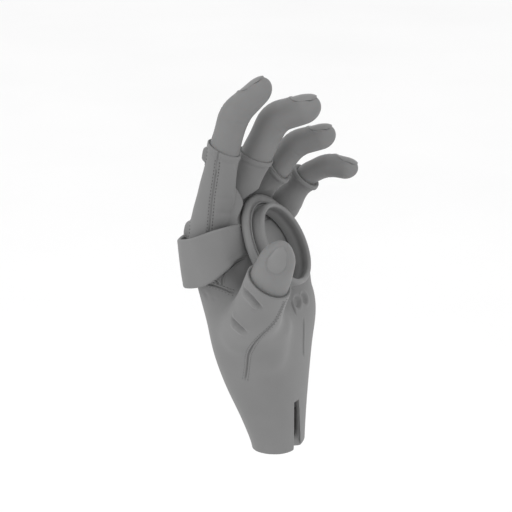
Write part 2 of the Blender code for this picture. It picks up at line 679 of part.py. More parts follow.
def build_thumb():
    base, near, far = thumb_frames()
    pivot = Matrix.Translation(base.translation)
    knuckle_pin_frame = bent(near, -THUMB_KNUCKLE_BEND)
    post_mesh = rod_mesh("post", POST_RADIUS, POST_LENGTH, POST_START, 16)
    smooth(new_object("thumb_arm_bolt", post_mesh, PIN_STEEL, pivot))
    plate = stadium_mesh("arm", THUMB_BASE_LENGTH, 5 * MM, TIP_EYE_RADIUS, BAR_WIDTH)
    arm = new_object("thumb_base_arm", plate, FRAME_METAL, base)
    cut(arm, rod_mesh("collar", 5.5 * MM, 10 * MM, -5 * MM), pivot, "UNION")
    cut(arm, box_mesh("level_foot", (30 * MM, 30 * MM, 30 * MM), (0, 0, -20 * MM)), pivot)
    cut(arm, rod_mesh("bore", POST_RADIUS + GAP, 60 * MM, -30 * MM), pivot)
    arm_slot = FORK_SLOT + Vector((2, 0, 1)) * MM
    cut(arm, box_mesh("arm_slot", arm_slot, (0, 0, THUMB_BASE_LENGTH + 0.5 * MM)))
    cut(arm, pin_mesh("eye", PIN_RADIUS + GAP, 30 * MM), knuckle_pin_frame)
    smooth(arm)
    build_pin("thumb_knuckle_pin", knuckle_pin_frame, BAR_WIDTH)
    plate = stadium_mesh("bar", THUMB_NEAR_LENGTH, TIP_EYE_RADIUS, TIP_EYE_RADIUS, BAR_WIDTH)
    bar = new_object("thumb_bar", plate, FRAME_METAL, near)
    for side in (-1, 1):
        away = side * (EYE_THICKNESS / 2 + 3 * MM)
        cut(bar, box_mesh("shoulder", (16 * MM, 6 * MM, 16 * MM), (0, away, -0.5 * MM)))
    cut(bar, box_mesh("fork_slot", FORK_SLOT, (0, 0, THUMB_NEAR_LENGTH)))
    for height in (0, THUMB_NEAR_LENGTH):
        cut(bar, pin_mesh("eye", PIN_RADIUS + GAP, 30 * MM), near @ Matrix.Translation((0, 0, height)))
    smooth(bar)
    build_pin("thumb_joint_pin", bent(near, 0, THUMB_NEAR_LENGTH), BAR_WIDTH)
    bore = THUMB_DIAMETER / 2 + SLEEVE_EASE
    sleeve_end = THUMB_NEAR_LENGTH - HEM_DROP
    build_sleeve("thumb", near, THUMB_SLEEVE_START, sleeve_end, 0, THUMB_SLEEVE_DIAMETER, bore)
    build_core("thumb", far, 17 * MM)
    build_tip("thumb", far, THUMB_TIP_LENGTH, THUMB_END_BEND, THUMB_END_BONE, THUMB_DIAMETER)
    build_nail("thumb", far, THUMB_TIP_LENGTH, THUMB_END_BEND, THUMB_END_BONE, THUMB_DIAMETER)
    build_thenar_pad(base)


def build_thenar_pad(base):
    """The soft mound round the thumb's base arm."""
    rings = []
    for height, half_x, half_y, shift in THENAR_STATIONS:
        centre = Vector((shift * MM, 0, height * MM))
        rings.append(digit_ring(centre, 0, half_x * MM, half_y * MM, 24))
    pad = new_object("thenar_pad", loft_mesh("thenar_pad", rings), GLOVE, base)
    room = stadium_mesh("room", THUMB_BASE_LENGTH + 20 * MM, 6 * MM, 6 * MM, BAR_WIDTH + 3 * MM)
    cut(pad, room)
    return smooth(pad)


def build_all():
    build_glove_body()
    build_chassis()
    build_wrist()
    build_ring()
    build_strap()
    for name, shape in FINGERS.items():
        build_finger(name, *shape)
    build_thumb()


build_all()
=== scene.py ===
"""Looks of a left prosthetic hand: gloved palm, bare finger ends, strap and cup ring.

Metres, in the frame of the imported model: +Z up the wrist, +X out of the palm, -Y the thumb's side.
"""

import json
import math
from contextlib import contextmanager

import bmesh
import bpy
import numpy as np
from mathutils import Matrix, Vector
from mathutils.bvhtree import BVHTree


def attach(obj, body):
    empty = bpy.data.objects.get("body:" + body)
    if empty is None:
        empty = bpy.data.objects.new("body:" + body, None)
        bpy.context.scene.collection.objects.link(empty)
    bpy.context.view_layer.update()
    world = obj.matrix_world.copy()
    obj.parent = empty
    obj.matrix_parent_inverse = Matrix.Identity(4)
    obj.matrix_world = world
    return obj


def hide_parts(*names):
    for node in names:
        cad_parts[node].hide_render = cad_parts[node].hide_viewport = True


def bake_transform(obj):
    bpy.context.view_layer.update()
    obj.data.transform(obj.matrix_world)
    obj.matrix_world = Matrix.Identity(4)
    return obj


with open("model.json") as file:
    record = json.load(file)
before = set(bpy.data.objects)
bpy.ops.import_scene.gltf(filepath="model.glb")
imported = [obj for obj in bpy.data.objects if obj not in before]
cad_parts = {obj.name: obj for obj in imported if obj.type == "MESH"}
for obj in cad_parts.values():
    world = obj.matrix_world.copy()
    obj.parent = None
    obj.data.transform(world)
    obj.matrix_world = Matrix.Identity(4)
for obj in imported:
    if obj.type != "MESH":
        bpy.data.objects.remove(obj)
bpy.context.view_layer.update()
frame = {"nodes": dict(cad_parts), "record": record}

MM = 0.001
JOINTS = {joint["name"]: joint for joint in frame["record"]["behaviour"]["joints"]}


def joint_point(name):
    """A joint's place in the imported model."""
    return np.array(JOINTS[name]["pos_m"], float)


def unit(vector):
    return np.asarray(vector, float) / np.linalg.norm(vector)


def ease(value):
    """A smooth step from 0 to 1 as the value goes from 0 to 1."""
    held = np.clip(value, 0.0, 1.0)
    return held * held * (3 - 2 * held)


def bell(distance, width):
    """A smooth hump: 1 at no distance, falling off over the width."""
    return np.exp(-((distance / width) ** 2))


def full_turn(count):
    """Even angles round a circle."""
    return np.linspace(0, 2 * math.pi, count, endpoint=False)


def turned_from(phi, middle):
    """Angles from a middle angle, between -pi and pi."""
    return np.arctan2(np.sin(phi - middle), np.cos(phi - middle))


def tangents(path):
    """Unit steps along a path."""
    ahead = np.gradient(path, axis=0)
    return ahead / np.maximum(np.linalg.norm(ahead, axis=1)[:, None], 1e-9)


def catmull(a, b, c, d, u):
    """A Catmull-Rom curve's place between b and c."""
    square = 2 * a - 5 * b + 4 * c - d
    cube = 3 * (b - c) + d - a
    return b + 0.5 * u * (c - a + u * (square + u * cube))


def curve_through(points, count):
    """Evenly stepped points on a Catmull-Rom curve through a few points."""
    points = np.asarray(points, float)
    padded = np.vstack([2 * points[0] - points[1], points, 2 * points[-1] - points[-2]])
    out = []
    for t in np.linspace(0, len(points) - 1, count):
        i = min(int(t), len(points) - 2)
        out.append(catmull(*padded[i:i + 4], t - i))
    return np.array(out)


def table_at(rows, heights):
    """Rows of (key, values...) read smoothly at each height."""
    keys = np.array([row[0] for row in rows], float)
    values = np.array([row[1:] for row in rows], float)
    slopes = np.gradient(values, keys, axis=0)
    heights = np.clip(np.asarray(heights, float), keys[0], keys[-1])
    index = np.clip(np.searchsorted(keys, heights, side="right") - 1, 0, len(keys) - 2)
    span = keys[index + 1] - keys[index]
    t = ((heights - keys[index]) / span)[:, None]
    span = span[:, None]
    return (
        (2 * t**3 - 3 * t**2 + 1) * values[index]
        + (t**3 - 2 * t**2 + t) * span * slopes[index]
        + (3 * t**2 - 2 * t**3) * values[index + 1]
        + (t**3 - t**2) * span * slopes[index + 1]
    )


# ---- materials

def node(tree, kind, out, inputs, **settings):
    """One output of a new shader node, with its inputs set to values or linked to other outputs."""
    made = tree.nodes.new("ShaderNode" + kind)
    for name, value in settings.items():
        setattr(made, name, value)
    for name, value in inputs.items():
        if isinstance(value, bpy.types.NodeSocket):
            tree.links.new(value, made.inputs[name])
        else:
            made.inputs[name].default_value = value
    return made.outputs[out]


def noise(tree, place, scale, detail=3.0, stretch=(1, 1, 1)):
    stretched = node(tree, "Mapping", "Vector", {"Vector": place, "Scale": stretch})
    return node(tree, "TexNoise", "Fac", {"Vector": stretched, "Scale": scale, "Detail": detail})


def cells(tree, place, scale, randomness=1.0):
    inputs = {"Vector": place, "Scale": scale, "Randomness": randomness}
    return node(tree, "TexVoronoi", "Distance", inputs)


def bands(tree, place, scale, direction, distortion):
    inputs = {"Vector": place, "Scale": scale, "Distortion": distortion}
    return node(tree, "TexWave", "Fac", inputs, bands_direction=direction)


def add(tree, first, second):
    return node(tree, "Math", 0, {0: first, 1: second}, operation="ADD")


def vary(tree, shader, socket, factor, low, high):
    """Drive a colour or a roughness from a factor between two values."""
    ramp = {"Value": factor, "From Min": 0.3, "From Max": 0.7}
    if socket == "Base Color":
        share = node(tree, "MapRange", "Result", ramp)
        ends = {"Factor": share, "A": (*low, 1), "B": (*high, 1)}
        value = node(tree, "Mix", "Result", ends, data_type="RGBA")
    else:
        value = node(tree, "MapRange", "Result", {**ramp, "To Min": low, "To Max": high})
    tree.links.new(value, shader.inputs[socket])


def grey(value):
    """A neutral colour."""
    return (value, value, value)


def material(name, tones, roughness, slow, gloss="slow", relief=None, bump=(0, 0), **inputs):
    """A material whose colour and roughness drift between two values, under a fine relief.

    tones and roughness each hold the plain value and the lowest and highest; slow is the scale and
    detail of the colour's drift; gloss says what the roughness follows: the same drift, the relief
    or a noise of its own scale and detail; bump is the relief's strength and depth in metres.
    """
    made = bpy.data.materials.new(name)
    made.use_nodes = True
    tree = made.node_tree
    shader = tree.nodes["Principled BSDF"]
    place = tree.nodes.new("ShaderNodeTexCoord").outputs["Object"]
    tones = [tone if isinstance(tone, tuple) else grey(tone) for tone in tones]
    shader.inputs["Base Color"].default_value = (*tones[0], 1)
    shader.inputs["Roughness"].default_value = roughness[0]
    for socket, value in inputs.items():
        shader.inputs[socket.replace("_", " ").title()].default_value = value
    drift = noise(tree, place, *slow)
    vary(tree, shader, "Base Color", drift, *tones[1:])
    if relief:
        height = relief(tree, place)
        factors = {"slow": drift, "relief": height}
        follows = factors[gloss] if gloss in factors else noise(tree, place, *gloss)
        vary(tree, shader, "Roughness", follows, *roughness[1:])
        raised = {"Height": height, "Strength": bump[0], "Distance": bump[1]}
        tree.links.new(node(tree, "Bump", "Normal", raised), shader.inputs["Normal"])
    return made


def knit(tree, place):
    return add(tree, cells(tree, place, 1500, 0.35), noise(tree, place, 900, 2))


def skin_lines(tree, place):
    return add(tree, cells(tree, place, 1300), noise(tree, place, 500, 4))


def nail_ridges(tree, place):
    return noise(tree, place, 700, 2, (1.0, 3.0, 0.4))


def ribs_and_weft(tree, place):
    return add(tree, bands(tree, place, 330, "Z", 0.4), cells(tree, place, 1100, 0.2))


def turning_marks(tree, place):
    return add(tree, noise(tree, place, 1600, 2), noise(tree, place, 55, 4))


def thread_twist(tree, place):
    return bands(tree, place, 1400, "DIAGONAL", 0.5)


def plain_grain(tree, place):
    return noise(tree, place, 1500, 2)


def metal_look(name, tone, roughness, stretch):
    """Machined metal with fine tool lines along one way and duller handled patches."""
    def tool_lines(tree, place):
        return noise(tree, place, 900, 3, stretch)

    darker = tuple(0.82 * value for value in tone)
    return material(name, (tone, darker, tone), (roughness, roughness - 0.08, roughness + 0.12), (70, 4),
                    "relief", tool_lines, (0.2, 0.00008), metallic=1.0)


# fine felted knit, matt moulded silicone, satin nail, flat woven band, turned matt plastic, thread
GLOVE = material("glove_fabric_look", (0.188, 0.178, 0.200), (0.8, 0.74, 0.88), (38, 4), "slow", knit,
                 (0.22, 0.00012), sheen_weight=0.12, sheen_roughness=0.5)
SKIN = material("silicone_skin_look", (0.188, 0.178, 0.196), (0.6, 0.52, 0.66), (60, 4), (160, 3),
                skin_lines, (0.16, 0.0001), subsurface_weight=0.05, subsurface_scale=0.002)
NAIL = material("fingernail_look", (0.196, 0.188, 0.202), (0.42, 0.36, 0.48), (120, 3), "slow",
                nail_ridges, (0.1, 0.0001))
WEBBING = material("strap_webbing_look", (0.188, 0.179, 0.198), (0.75, 0.7, 0.82), (45, 4), "slow",
                   ribs_and_weft, (0.18, 0.00012), sheen_weight=0.1)
RING = material("ring_plastic_look", (0.188, 0.179, 0.197), (0.5, 0.44, 0.6), (55, 4), (130, 4),
                turning_marks, (0.12, 0.0001))
THREAD = material("thread_look", (0.09, 0.05, 0.08), (0.7, 0.6, 0.8), (300, 3), "relief",
                  thread_twist, (0.3, 0.0001))
ALUMINIUM = metal_look("frame_aluminium_look", (0.55, 0.56, 0.58), 0.38, (1, 1, 0.08))
STEEL = metal_look("pin_steel_look", (0.5, 0.5, 0.5), 0.28, (1, 0.08, 1))
BUSH = material("bush_plastic_look", (0.05, 0.04, 0.065), (0.5, 0.4, 0.6), (150, 3), "slow",
                plain_grain, (0.15, 0.0001))
CAD_LOOKS = {"frame_aluminium": ALUMINIUM, "pin_steel": STEEL, "bush_plastic": BUSH}


# ---- meshes

def put_in_scene(name, data):
    """A new object in the scene."""
    made = bpy.data.objects.new(name, data)
    bpy.context.scene.collection.objects.link(made)
    return made


def new_piece(name, verts, faces, look, smooth=True):
    """A mesh object with one look."""
    mesh = bpy.data.meshes.new(name)
    mesh.from_pydata([tuple(v) for v in verts], [], [tuple(f) for f in faces])
    mesh.validate()
    mesh.materials.append(look)
    if smooth:
        mesh.shade_smooth()
    return put_in_scene(name, mesh)


def loft(rings, cap_start=False, cap_end=False, wrap=False):
    """Vertices and faces of a surface through equal closed rings; wrap joins the last to the first."""
    rows, columns = len(rings), len(rings[0])
    verts = [point for ring in rings for point in ring]
    faces = []
    for i in range(rows if wrap else rows - 1):
        n = (i + 1) % rows
        for j in range(columns):
            k = (j + 1) % columns
            faces.append((i * columns + j, i * columns + k, n * columns + k, n * columns + j))
    for wanted, row, order in ((cap_start, 0, -1), (cap_end, rows - 1, 1)):
        if wanted:
            verts.append(np.mean(rings[row], axis=0))
            for j in range(columns):
                pair = (row * columns + j, row * columns + (j + 1) % columns)
                faces.append((*pair[::order], len(verts) - 1))
    return verts, faces


def merged(shapes):
    """Several shapes' vertices and faces as one."""
    verts, faces = [], []
    for more_verts, more_faces in shapes:
        start = len(verts)
        verts.extend(more_verts)
        faces.extend(tuple(start + i for i in face) for face in more_faces)
    return verts, faces


@contextmanager
def opened(mesh):
    """A mesh open for editing, written back at the end."""
    bm = bmesh.new()
    bm.from_mesh(mesh)
    yield bm
    bm.to_mesh(mesh)
    bm.free()


def outward(made):
    """Turn a piece's faces outwards."""
    with opened(made.data) as bm:
        bmesh.ops.recalc_face_normals(bm, faces=bm.faces)
    return made


def coordinates(mesh, which="co"):
    """Each vertex's place, or its normal, as rows of an array."""
    values = np.empty(len(mesh.vertices) * 3)
    mesh.vertices.foreach_get(which, values)
    return values.reshape(-1, 3)


def set_coordinates(mesh, values):
    mesh.vertices.foreach_set("co", values.ravel())
    mesh.update()


def relax(mesh, rounds, share):
    """Laplacian smoothing; share is one number, or one for each vertex."""
    pairs = np.empty(len(mesh.edges) * 2, int)
    mesh.edges.foreach_get("vertices", pairs)
    a, b = pairs.reshape(-1, 2).T
    place = coordinates(mesh)
    count = np.bincount(a, minlength=len(place)) + np.bincount(b, minlength=len(place))
    share = np.broadcast_to(share, len(place))[:, None]
    for _ in range(rounds):
        total = np.empty_like(place)
        for axis in range(3):
            total[:, axis] = np.bincount(a, place[b, axis], len(place))
            total[:, axis] += np.bincount(b, place[a, axis], len(place))
        place = place + share * (total / count[:, None] - place)
    set_coordinates(mesh, place)


def distance_to_path(points, path):
    """Each point's distance to a dense path, and where along it the nearest step is."""
    best = np.full(len(points), np.inf)
    where = np.zeros(len(points), int)
    for i, step in enumerate(path):
        away = np.linalg.norm(points - step, axis=1)
        nearer = away < best
        best[nearer] = away[nearer]
        where[nearer] = i
    return best, where


def on_surface(tree, path):
    """The path's points moved to the nearest place on a surface, with the normals there."""
    places, normals = [], []
    for point in path:
        place, normal, _, _ = tree.find_nearest(Vector(point))
        places.append(place)
        normals.append(normal)
    return np.array(places), np.array(normals)


def even_steps(path, step):
    """The path again, at even steps."""
    lengths = np.concatenate([[0], np.cumsum(np.linalg.norm(np.diff(path, axis=0), axis=1))])
    wanted = np.arange(0, lengths[-1], step)
    return np.stack([np.interp(wanted, lengths, path[:, axis]) for axis in range(3)], axis=1)


# ---- ring geometry

RING_MOUTH = np.array((7.0, -6.5, 126.2)) * MM
RING_AXIS = unit((0.88, -0.04, 0.47))
RING_BORE = 21.8 * MM
RING_COLLAR = 25 * MM
RING_FLANGE = 32.5 * MM
RING_BACK = 10.6 * MM
RING_DOWN = unit(np.cross((0, 1, 0), RING_AXIS))
RING_ACROSS = np.cross(RING_AXIS, RING_DOWN)


def ring_frame(depth=0.0):
    """The ring's own axes, at its mouth or a depth behind it."""
    made = Matrix.Identity(4)
    for column, way in enumerate((RING_DOWN, RING_ACROSS, RING_AXIS)):
        for row in range(3):
            made[row][column] = way[row]
    made.translation = Vector(RING_MOUTH - RING_AXIS * depth)
    return made


FLANGE_GAP = 0.7 * MM         # how far behind the ring's back face the glove is pressed
PRESS_EDGE = 2.2 * MM         # the press ends this far outside the flange
PRESS_FADE = 1.3 * MM         # and fades over this much
PRESS_LIMIT = 16 * MM         # what stands further forward than this is not the palm's skin


def behind_ring(points):
    """Press a surface back where it would reach into the ring's flange."""
    rel = points - (RING_MOUTH - RING_AXIS * RING_BACK)
    depth = rel @ RING_AXIS
    radial = np.linalg.norm(rel - depth[:, None] * RING_AXIS, axis=1)
    share = ease((RING_FLANGE + PRESS_EDGE - radial) / PRESS_FADE)
    push = share * np.maximum(0, depth + FLANGE_GAP)
    push[depth > PRESS_LIMIT] = 0
    return points - push[:, None] * RING_AXIS


# ---- digits: centre lines

BEND_START, BEND_LENGTH = 3 * MM, 8 * MM    # where a digit turns at its joint, and over how much
TIP_BEND_LENGTH = 15 * MM
BELOW_JOINT = 14 * MM         # the centre line is worked out from this far below the joint


class Digit:
    """One digit's places and ways: its knuckle, its joint and how its end bends.

    Angles are the ways from the palm's up near the joint, beyond it and at the tip; lengths run
    from knuckle to joint, to the last bend and to the end; hem is how far past the joint the
    sleeve reaches and how it slants; the nail has a length, and a spread and a turn in degrees.
    """

    def __init__(self, name, way, pad, angles, lengths, diameter, nail, taper, hem, nail_spread,
                 nail_turn=0.0):
        self.name = name
        self.way, self.pad = unit(way), unit(pad)
        self.side = np.cross(self.way, self.pad)
        self.near, self.far, self.end = (math.radians(angle) for angle in angles)
        self.length, self.bone, self.tip = (length * MM for length in lengths)
        self.knuckle = joint_point(f"{name}_knuckle")
        self.joint = joint_point(f"{name}_joint")
        self.radius = diameter / 2 * MM
        self.nail = nail * MM
        self.taper = taper
        self.hem_raise, self.hem_slant = hem[0] * MM, hem[1] * MM
        self.nail_half_angle = math.radians(nail_spread)
        self.nail_turn = math.radians(nail_turn)
        self.nail_follow = 1.0 if name == "thumb" else 0.87
        self.reach = self.bone + self.tip
        self.hem = self.length + self.hem_raise

    def ahead(self, angle):
        """The way along the digit where it has turned by an angle."""
        angle = np.asarray(angle)[..., None]
        return self.way * np.cos(angle) + self.pad * np.sin(angle)

    def facing(self, angle):
        """The way its pad faces there."""
        angle = np.asarray(angle)[..., None]
        return self.pad * np.cos(angle) - self.way * np.sin(angle)

    def bend(self, travelled):
        """The way's angle at a distance beyond the joint."""
        first = ease((travelled + BEND_START) / BEND_LENGTH)
        second = ease((travelled - self.bone) / TIP_BEND_LENGTH + 0.5)
        return self.near + (self.far - self.near) * first + (self.end - self.far) * second

    def centre_line(self, travelled):
        """Centres and angles at distances from the joint, below it and beyond it."""
        dense = np.linspace(-BELOW_JOINT, self.reach, 600)
        angles = self.bend(dense)
        steps = np.diff(dense)[:, None] * self.ahead((angles[1:] + angles[:-1]) / 2)
        line = np.vstack([np.zeros(3), np.cumsum(steps, axis=0)])
        zero = np.stack([np.interp(0.0, dense, line[:, axis]) for axis in range(3)])
        line += self.joint - zero
        centres = np.stack([np.interp(travelled, dense, line[:, axis]) for axis in range(3)], axis=-1)
        return centres, np.interp(travelled, dense, angles)


UP, PALMAR = (0, 0, 1), (1, 0, 0)
THUMB_WAY = unit((0.405, -0.36, 0.84))
THUMB_PAD_WAY = np.array((-0.12, 0.89, 0.44))
THUMB_PAD = unit(THUMB_PAD_WAY - (THUMB_PAD_WAY @ THUMB_WAY) * THUMB_WAY)

DIGITS = {digit.name: digit for digit in (
    Digit("index", UP, PALMAR, (10, 16.5, 45.5), (49, 22.5, 28), 17.6, 16, 0.80, (1.5, 2.5), 54),
    Digit("middle", UP, PALMAR, (26, 26, 70), (46, 27.5, 28), 18.8, 14.5, 0.88, (2.5, -0.8), 54),
    Digit("ring", UP, PALMAR, (38, 35, 71), (43, 20, 25), 15.9, 13.5, 0.92, (3.0, 2.5), 54),
    Digit("little", UP, PALMAR, (37, 61, 96), (39, 15, 18), 13.9, 12.5, 0.92, (-0.5, 0.5), 54, -13),
    Digit("thumb", THUMB_WAY, THUMB_PAD, (0, 4, 10), (31.5, 22, 9.5), 23.6, 13.2, 0.66, (2.8, 0), 38, -3),
)}
ROUND = 72                    # columns round a bare digit
JOINT_CREASES = ((-1.8, 0.16), (0.0, 0.2), (1.9, 0.15))    # place from the last bend and depth
SNUG = 0.93                   # a sleeve's turned-in hem against the digit's radius
NAIL_BED = 0.65 * MM          # how deep the bed under the nail is
NAIL_THICK = 0.8 * MM         # the plate at its root, and how much thicker it is at the free edge
NAIL_THICKENS = 1.1 * MM
NAIL_SHARE = 0.95             # the plate's width against its bed's


# ---- bare digits and nails

def digit_radius(digit, travelled):
    """The digit's half thickness before its rounded end."""
    share = np.clip(travelled / digit.reach, 0, 1)
    knuckle = 0.045 * bell(travelled - digit.bone, 5 * MM)
    waist = -0.03 * bell(travelled - digit.bone * 0.5, 6 * MM)
    thin = 1 - (1 - digit.taper) * ease((share - 0.25) / 0.75)
    return digit.radius * (thin + knuckle + waist)


def nail_span(digit):
    """Where the nail starts and ends along the digit."""
    end = digit.reach - 0.8 * MM
    return end - digit.nail, end


def nail_edge(digit, turn, start, end):
    """The nail's rounded root and free edge at an angle across it; turn is -1 to 1."""
    root = start + 0.42 * digit.nail * np.abs(turn) ** 2.6
    free = end - 0.14 * digit.nail * np.abs(turn) ** 2.2
    return root, free


def cap_length(digit):
    """The length of a digit's rounded end."""
    return 1.15 * digit.radius * (0.6 + 0.4 * digit.taper)


def digit_surface(digit, travelled, phi, change=0.0, follow=1.0):
    """Points on a digit at distances beyond its joint and angles round it, raised by a change.

    A follow under one lets a nail run on straighter than the rounded end under it.
    """
    cap = cap_length(digit)
    gone = follow * np.clip((travelled - (digit.reach - cap)) / cap, 0, 0.9994)
    keep = np.sqrt(1 - gone**2)
    centres, angles = digit.centre_line(travelled)
    radius = digit_radius(digit, travelled)
    cos, sin = np.cos(phi), np.sin(phi)
    size_x = (radius * np.where(cos < 0, 0.95, 1.0)) * keep + change * keep**0.5
    size_y = (radius * 1.01 * (0.965 + 0.035 * cos**2)) * keep + change * keep**0.5
    return centres + (size_x * cos)[:, None] * digit.facing(angles) + (size_y * sin)[:, None] * digit.side


def round_nail(digit, phi):
    """How far angles lie from the nail's middle, 1 at its sides."""
    return turned_from(phi, math.pi + digit.nail_turn) / digit.nail_half_angle


def digit_piece(digit):
    """The soft skin of a digit, from inside its sleeve to its rounded end."""
    cap = cap_length(digit)
    straight = np.arange(-9 * MM, digit.reach - cap, 0.7 * MM)
    turns = np.radians(np.linspace(0, 88, 22))
    travelled = np.concatenate([straight, digit.reach - cap * (1 - np.sin(turns))])
    radius = digit_radius(digit, travelled)
    phi = full_turn(ROUND)
    start, end = nail_span(digit)
    across = round_nail(digit, phi)
    root, free = nail_edge(digit, np.clip(across, -1, 1), start, end)
    rings = []
    for r, s in zip(radius, travelled):
        inside = np.minimum((1.0 - np.abs(across)) * digit.nail_half_angle * r, s - root)
        within = ease(inside / (0.5 * MM) + 0.5)
        bed = -NAIL_BED * within * ease((free + 0.2 * MM - s) / (0.5 * MM))
        fold = 0.3 * MM * bell(inside + 0.7 * MM, 0.8 * MM) * ease((end - 1.5 * MM - s) / (3 * MM))
        crease = 0.0
        for place, depth in JOINT_CREASES:
            crease = crease - depth * MM * bell(s - digit.bone - place * MM, 0.55 * MM)
        crease = crease * ease((-np.cos(phi) - 0.25) / 0.5)
        pad = 0.05 * r * bell(s - digit.bone - 0.6 * digit.tip, 0.35 * digit.tip)
        pad = pad * np.clip(np.cos(phi), 0, 1)
        hollow = -0.22 * MM * bell(s - digit.bone + 1 * MM, 0.8 * MM) * ease((np.cos(phi) - 0.2) / 0.5)
        change = bed + fold + crease + pad + hollow
        rings.append(digit_surface(digit, np.full_like(phi, s), phi, change))
    verts, faces = loft(rings, cap_end=True)
    made = outward(new_piece(f"{digit.name}_bare_end", verts, faces, SKIN))
    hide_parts(f"{digit.name}_fingertip")
    low = digit.joint - 2.0 * MM * digit.ahead(digit.near)
    high = digit.joint + 7.0 * MM * digit.ahead(digit.far)
    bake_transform(made)


def nail_piece(digit):
    """A curved nail plate let into its bed: thin at the root, a little proud at the free edge."""
    start, end = nail_span(digit)
    across = np.linspace(-1, 1, 29)
    along = np.linspace(0.02, 1, 33)
    root, free = nail_edge(digit, across, start, end)
    phi = math.pi + digit.nail_turn + NAIL_SHARE * across * digit.nail_half_angle
    loops = []
    for share in along:
        s = root + (free - root) * share
        lift = -0.15 * MM + 0.25 * MM * ease((share - 0.45) / 0.5) - 0.15 * MM * across**4
        thick = NAIL_THICK + NAIL_THICKENS * ease(share * 2 - 1)
        follow = 1 - (1 - digit.nail_follow) * ease(share * 2 - 0.8)
        upper = digit_surface(digit, s, phi, lift, follow)
        lower = digit_surface(digit, s, phi, lift - thick, follow)
        loops.append(np.vstack([upper, lower[::-1]]))
    verts, faces = loft(loops)
    columns = len(loops[0])
    for row in (0, len(loops) - 1):
        for j in range(columns // 2 - 1):
            faces.append((row * columns + j, row * columns + j + 1,
                          row * columns + columns - 2 - j, row * columns + columns - 1 - j))
    made = outward(new_piece(f"{digit.name}_nail_plate", verts, faces, NAIL))
    made.data.set_sharp_from_angle(angle=math.radians(60))
    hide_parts(f"{digit.name}_nail")
    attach(made, f"{digit.name}_distal")


# ---- finger sleeves

SLEEVE_SHAPES = {
    # half width at the base, in the middle and at the hem; how far the hem flares; height of the
    # pads; how much narrower the root is
    "index": (12.2, 10.7, 9.2, 0.3, 2.4, 1.0),
    "middle": (11.2, 10.4, 9.7, 0.4, 1.6, 2.5),
    "ring": (11.2, 10.1, 8.7, 1.2, 1.3, 4.6),
    "little": (11.2, 9.8, 7.9, 1.4, 1.1, 4.6),
}
SLEEVE_DROP = 24 * MM         # the sleeves start this far below the knuckles, under the strap
SLEEVE_STEP = 0.7 * MM
SLEEVE_COLUMNS = 160
KNUCKLE_PADS = (
    # place from the hem or the knuckle, reach along the sleeve, spread round it in radians
    (-7.8, 4.4, 0.50),
    (-0.5, 5.2, 0.60),
)
SLEEVE_FOLDS = ((0.30, 0.35, 1.8), (0.52, 0.25, 1.4), (0.12, 0.4, 2.2))    # place, depth, width
ACROSS = np.array((0.0, 1.0, 0.0))


def sleeve_line(digit, travelled):
    """Centres, ways and palm-facing ways of a sleeve at distances from its knuckle."""
    along = digit.ahead(digit.near)
    root_way = unit(np.array((0.10, -0.10 * digit.knuckle[1] / 0.03, 1.0)))
    turn = ease((travelled + 10 * MM) / (20 * MM))[:, None]
    ways = root_way * (1 - turn) + along * turn
    ways /= np.linalg.norm(ways, axis=1)[:, None]
    below = root_way * (1 - 0.5 * turn) + along * 0.5 * turn
    centres = digit.knuckle + np.where(travelled[:, None] >= 0, along, below) * travelled[:, None]
    facing = np.cross(ACROSS, ways)
    facing /= np.linalg.norm(facing, axis=1)[:, None]
    return centres, ways, facing


def sleeve_profile(digit, s):
    """A sleeve's half width at distances from its knuckle."""
    base, middle, hem, flare, _, root = SLEEVE_SHAPES[digit.name]
    end = digit.hem
    rows = (
        (-SLEEVE_DROP / MM, base - root - 3), (-14, base - root), (-7, base - 0.4 * root), (1, base),
        (0.45 * digit.length / MM, middle), (end / MM - 5, hem),
        (end / MM - 1.5, hem + flare), (end / MM, hem + flare * 0.8),
    )
    return table_at(rows, s / MM)[:, 0] * MM


def pad_places(digit):
    """Each knuckle pad's place up the sleeve, reach, spread and height."""
    high = SLEEVE_SHAPES[digit.name][4] * MM
    for (place, reach, spread), datum in zip(KNUCKLE_PADS, (digit.hem, 0.0)):
        yield datum + place * MM, reach * MM, spread, high


def sleeve_relief(digit, s, phi):
    """Height added to a sleeve: hem, knuckle pads, seam and soft folds."""
    end = digit.hem
    dorsal = turned_from(phi, math.pi)
    relief = 0.12 * MM * np.sin(3 * phi + s / (4.1 * MM)) * np.sin(s / (5.3 * MM) + digit.length / MM)
    for place, reach, spread, high in pad_places(digit):
        away = np.sqrt(((s - place) / reach) ** 2 + (dorsal / spread) ** 2)
        relief += high * ease((1.1 - away) / 0.5)
        relief -= 0.2 * MM * bell(away - 1.2, 0.08)
    relief += 0.3 * MM * ease((s - end + 3.2 * MM) / (0.8 * MM))
    relief -= 0.25 * MM * bell(s - end + 3.6 * MM, 0.5 * MM)
    for place, depth, wide in SLEEVE_FOLDS:
        fold = bell(s - place * digit.length - 1.6 * MM * np.sin(phi + place * 9), wide * MM)
        relief -= depth * MM * fold * ease((np.cos(phi) - 0.1) / 0.6)
    return relief


SEAM_TURNS = {
    # degrees round the sleeve at the knuckle, halfway up and at the hem
    "index": (-72, -83, -88),
    "middle": (84, 88, 92),
    "ring": (86, 90, 95),
    "little": (88, 92, 98),
}


def seam_turn(digit, s):
    """The angle round a sleeve at which its seam runs."""
    low, middle, high = SEAM_TURNS[digit.name]
    share = np.clip(s / digit.length, -0.5, 1)
    return np.radians(np.interp(share, (0, 0.5, 1), (low, middle, high)))


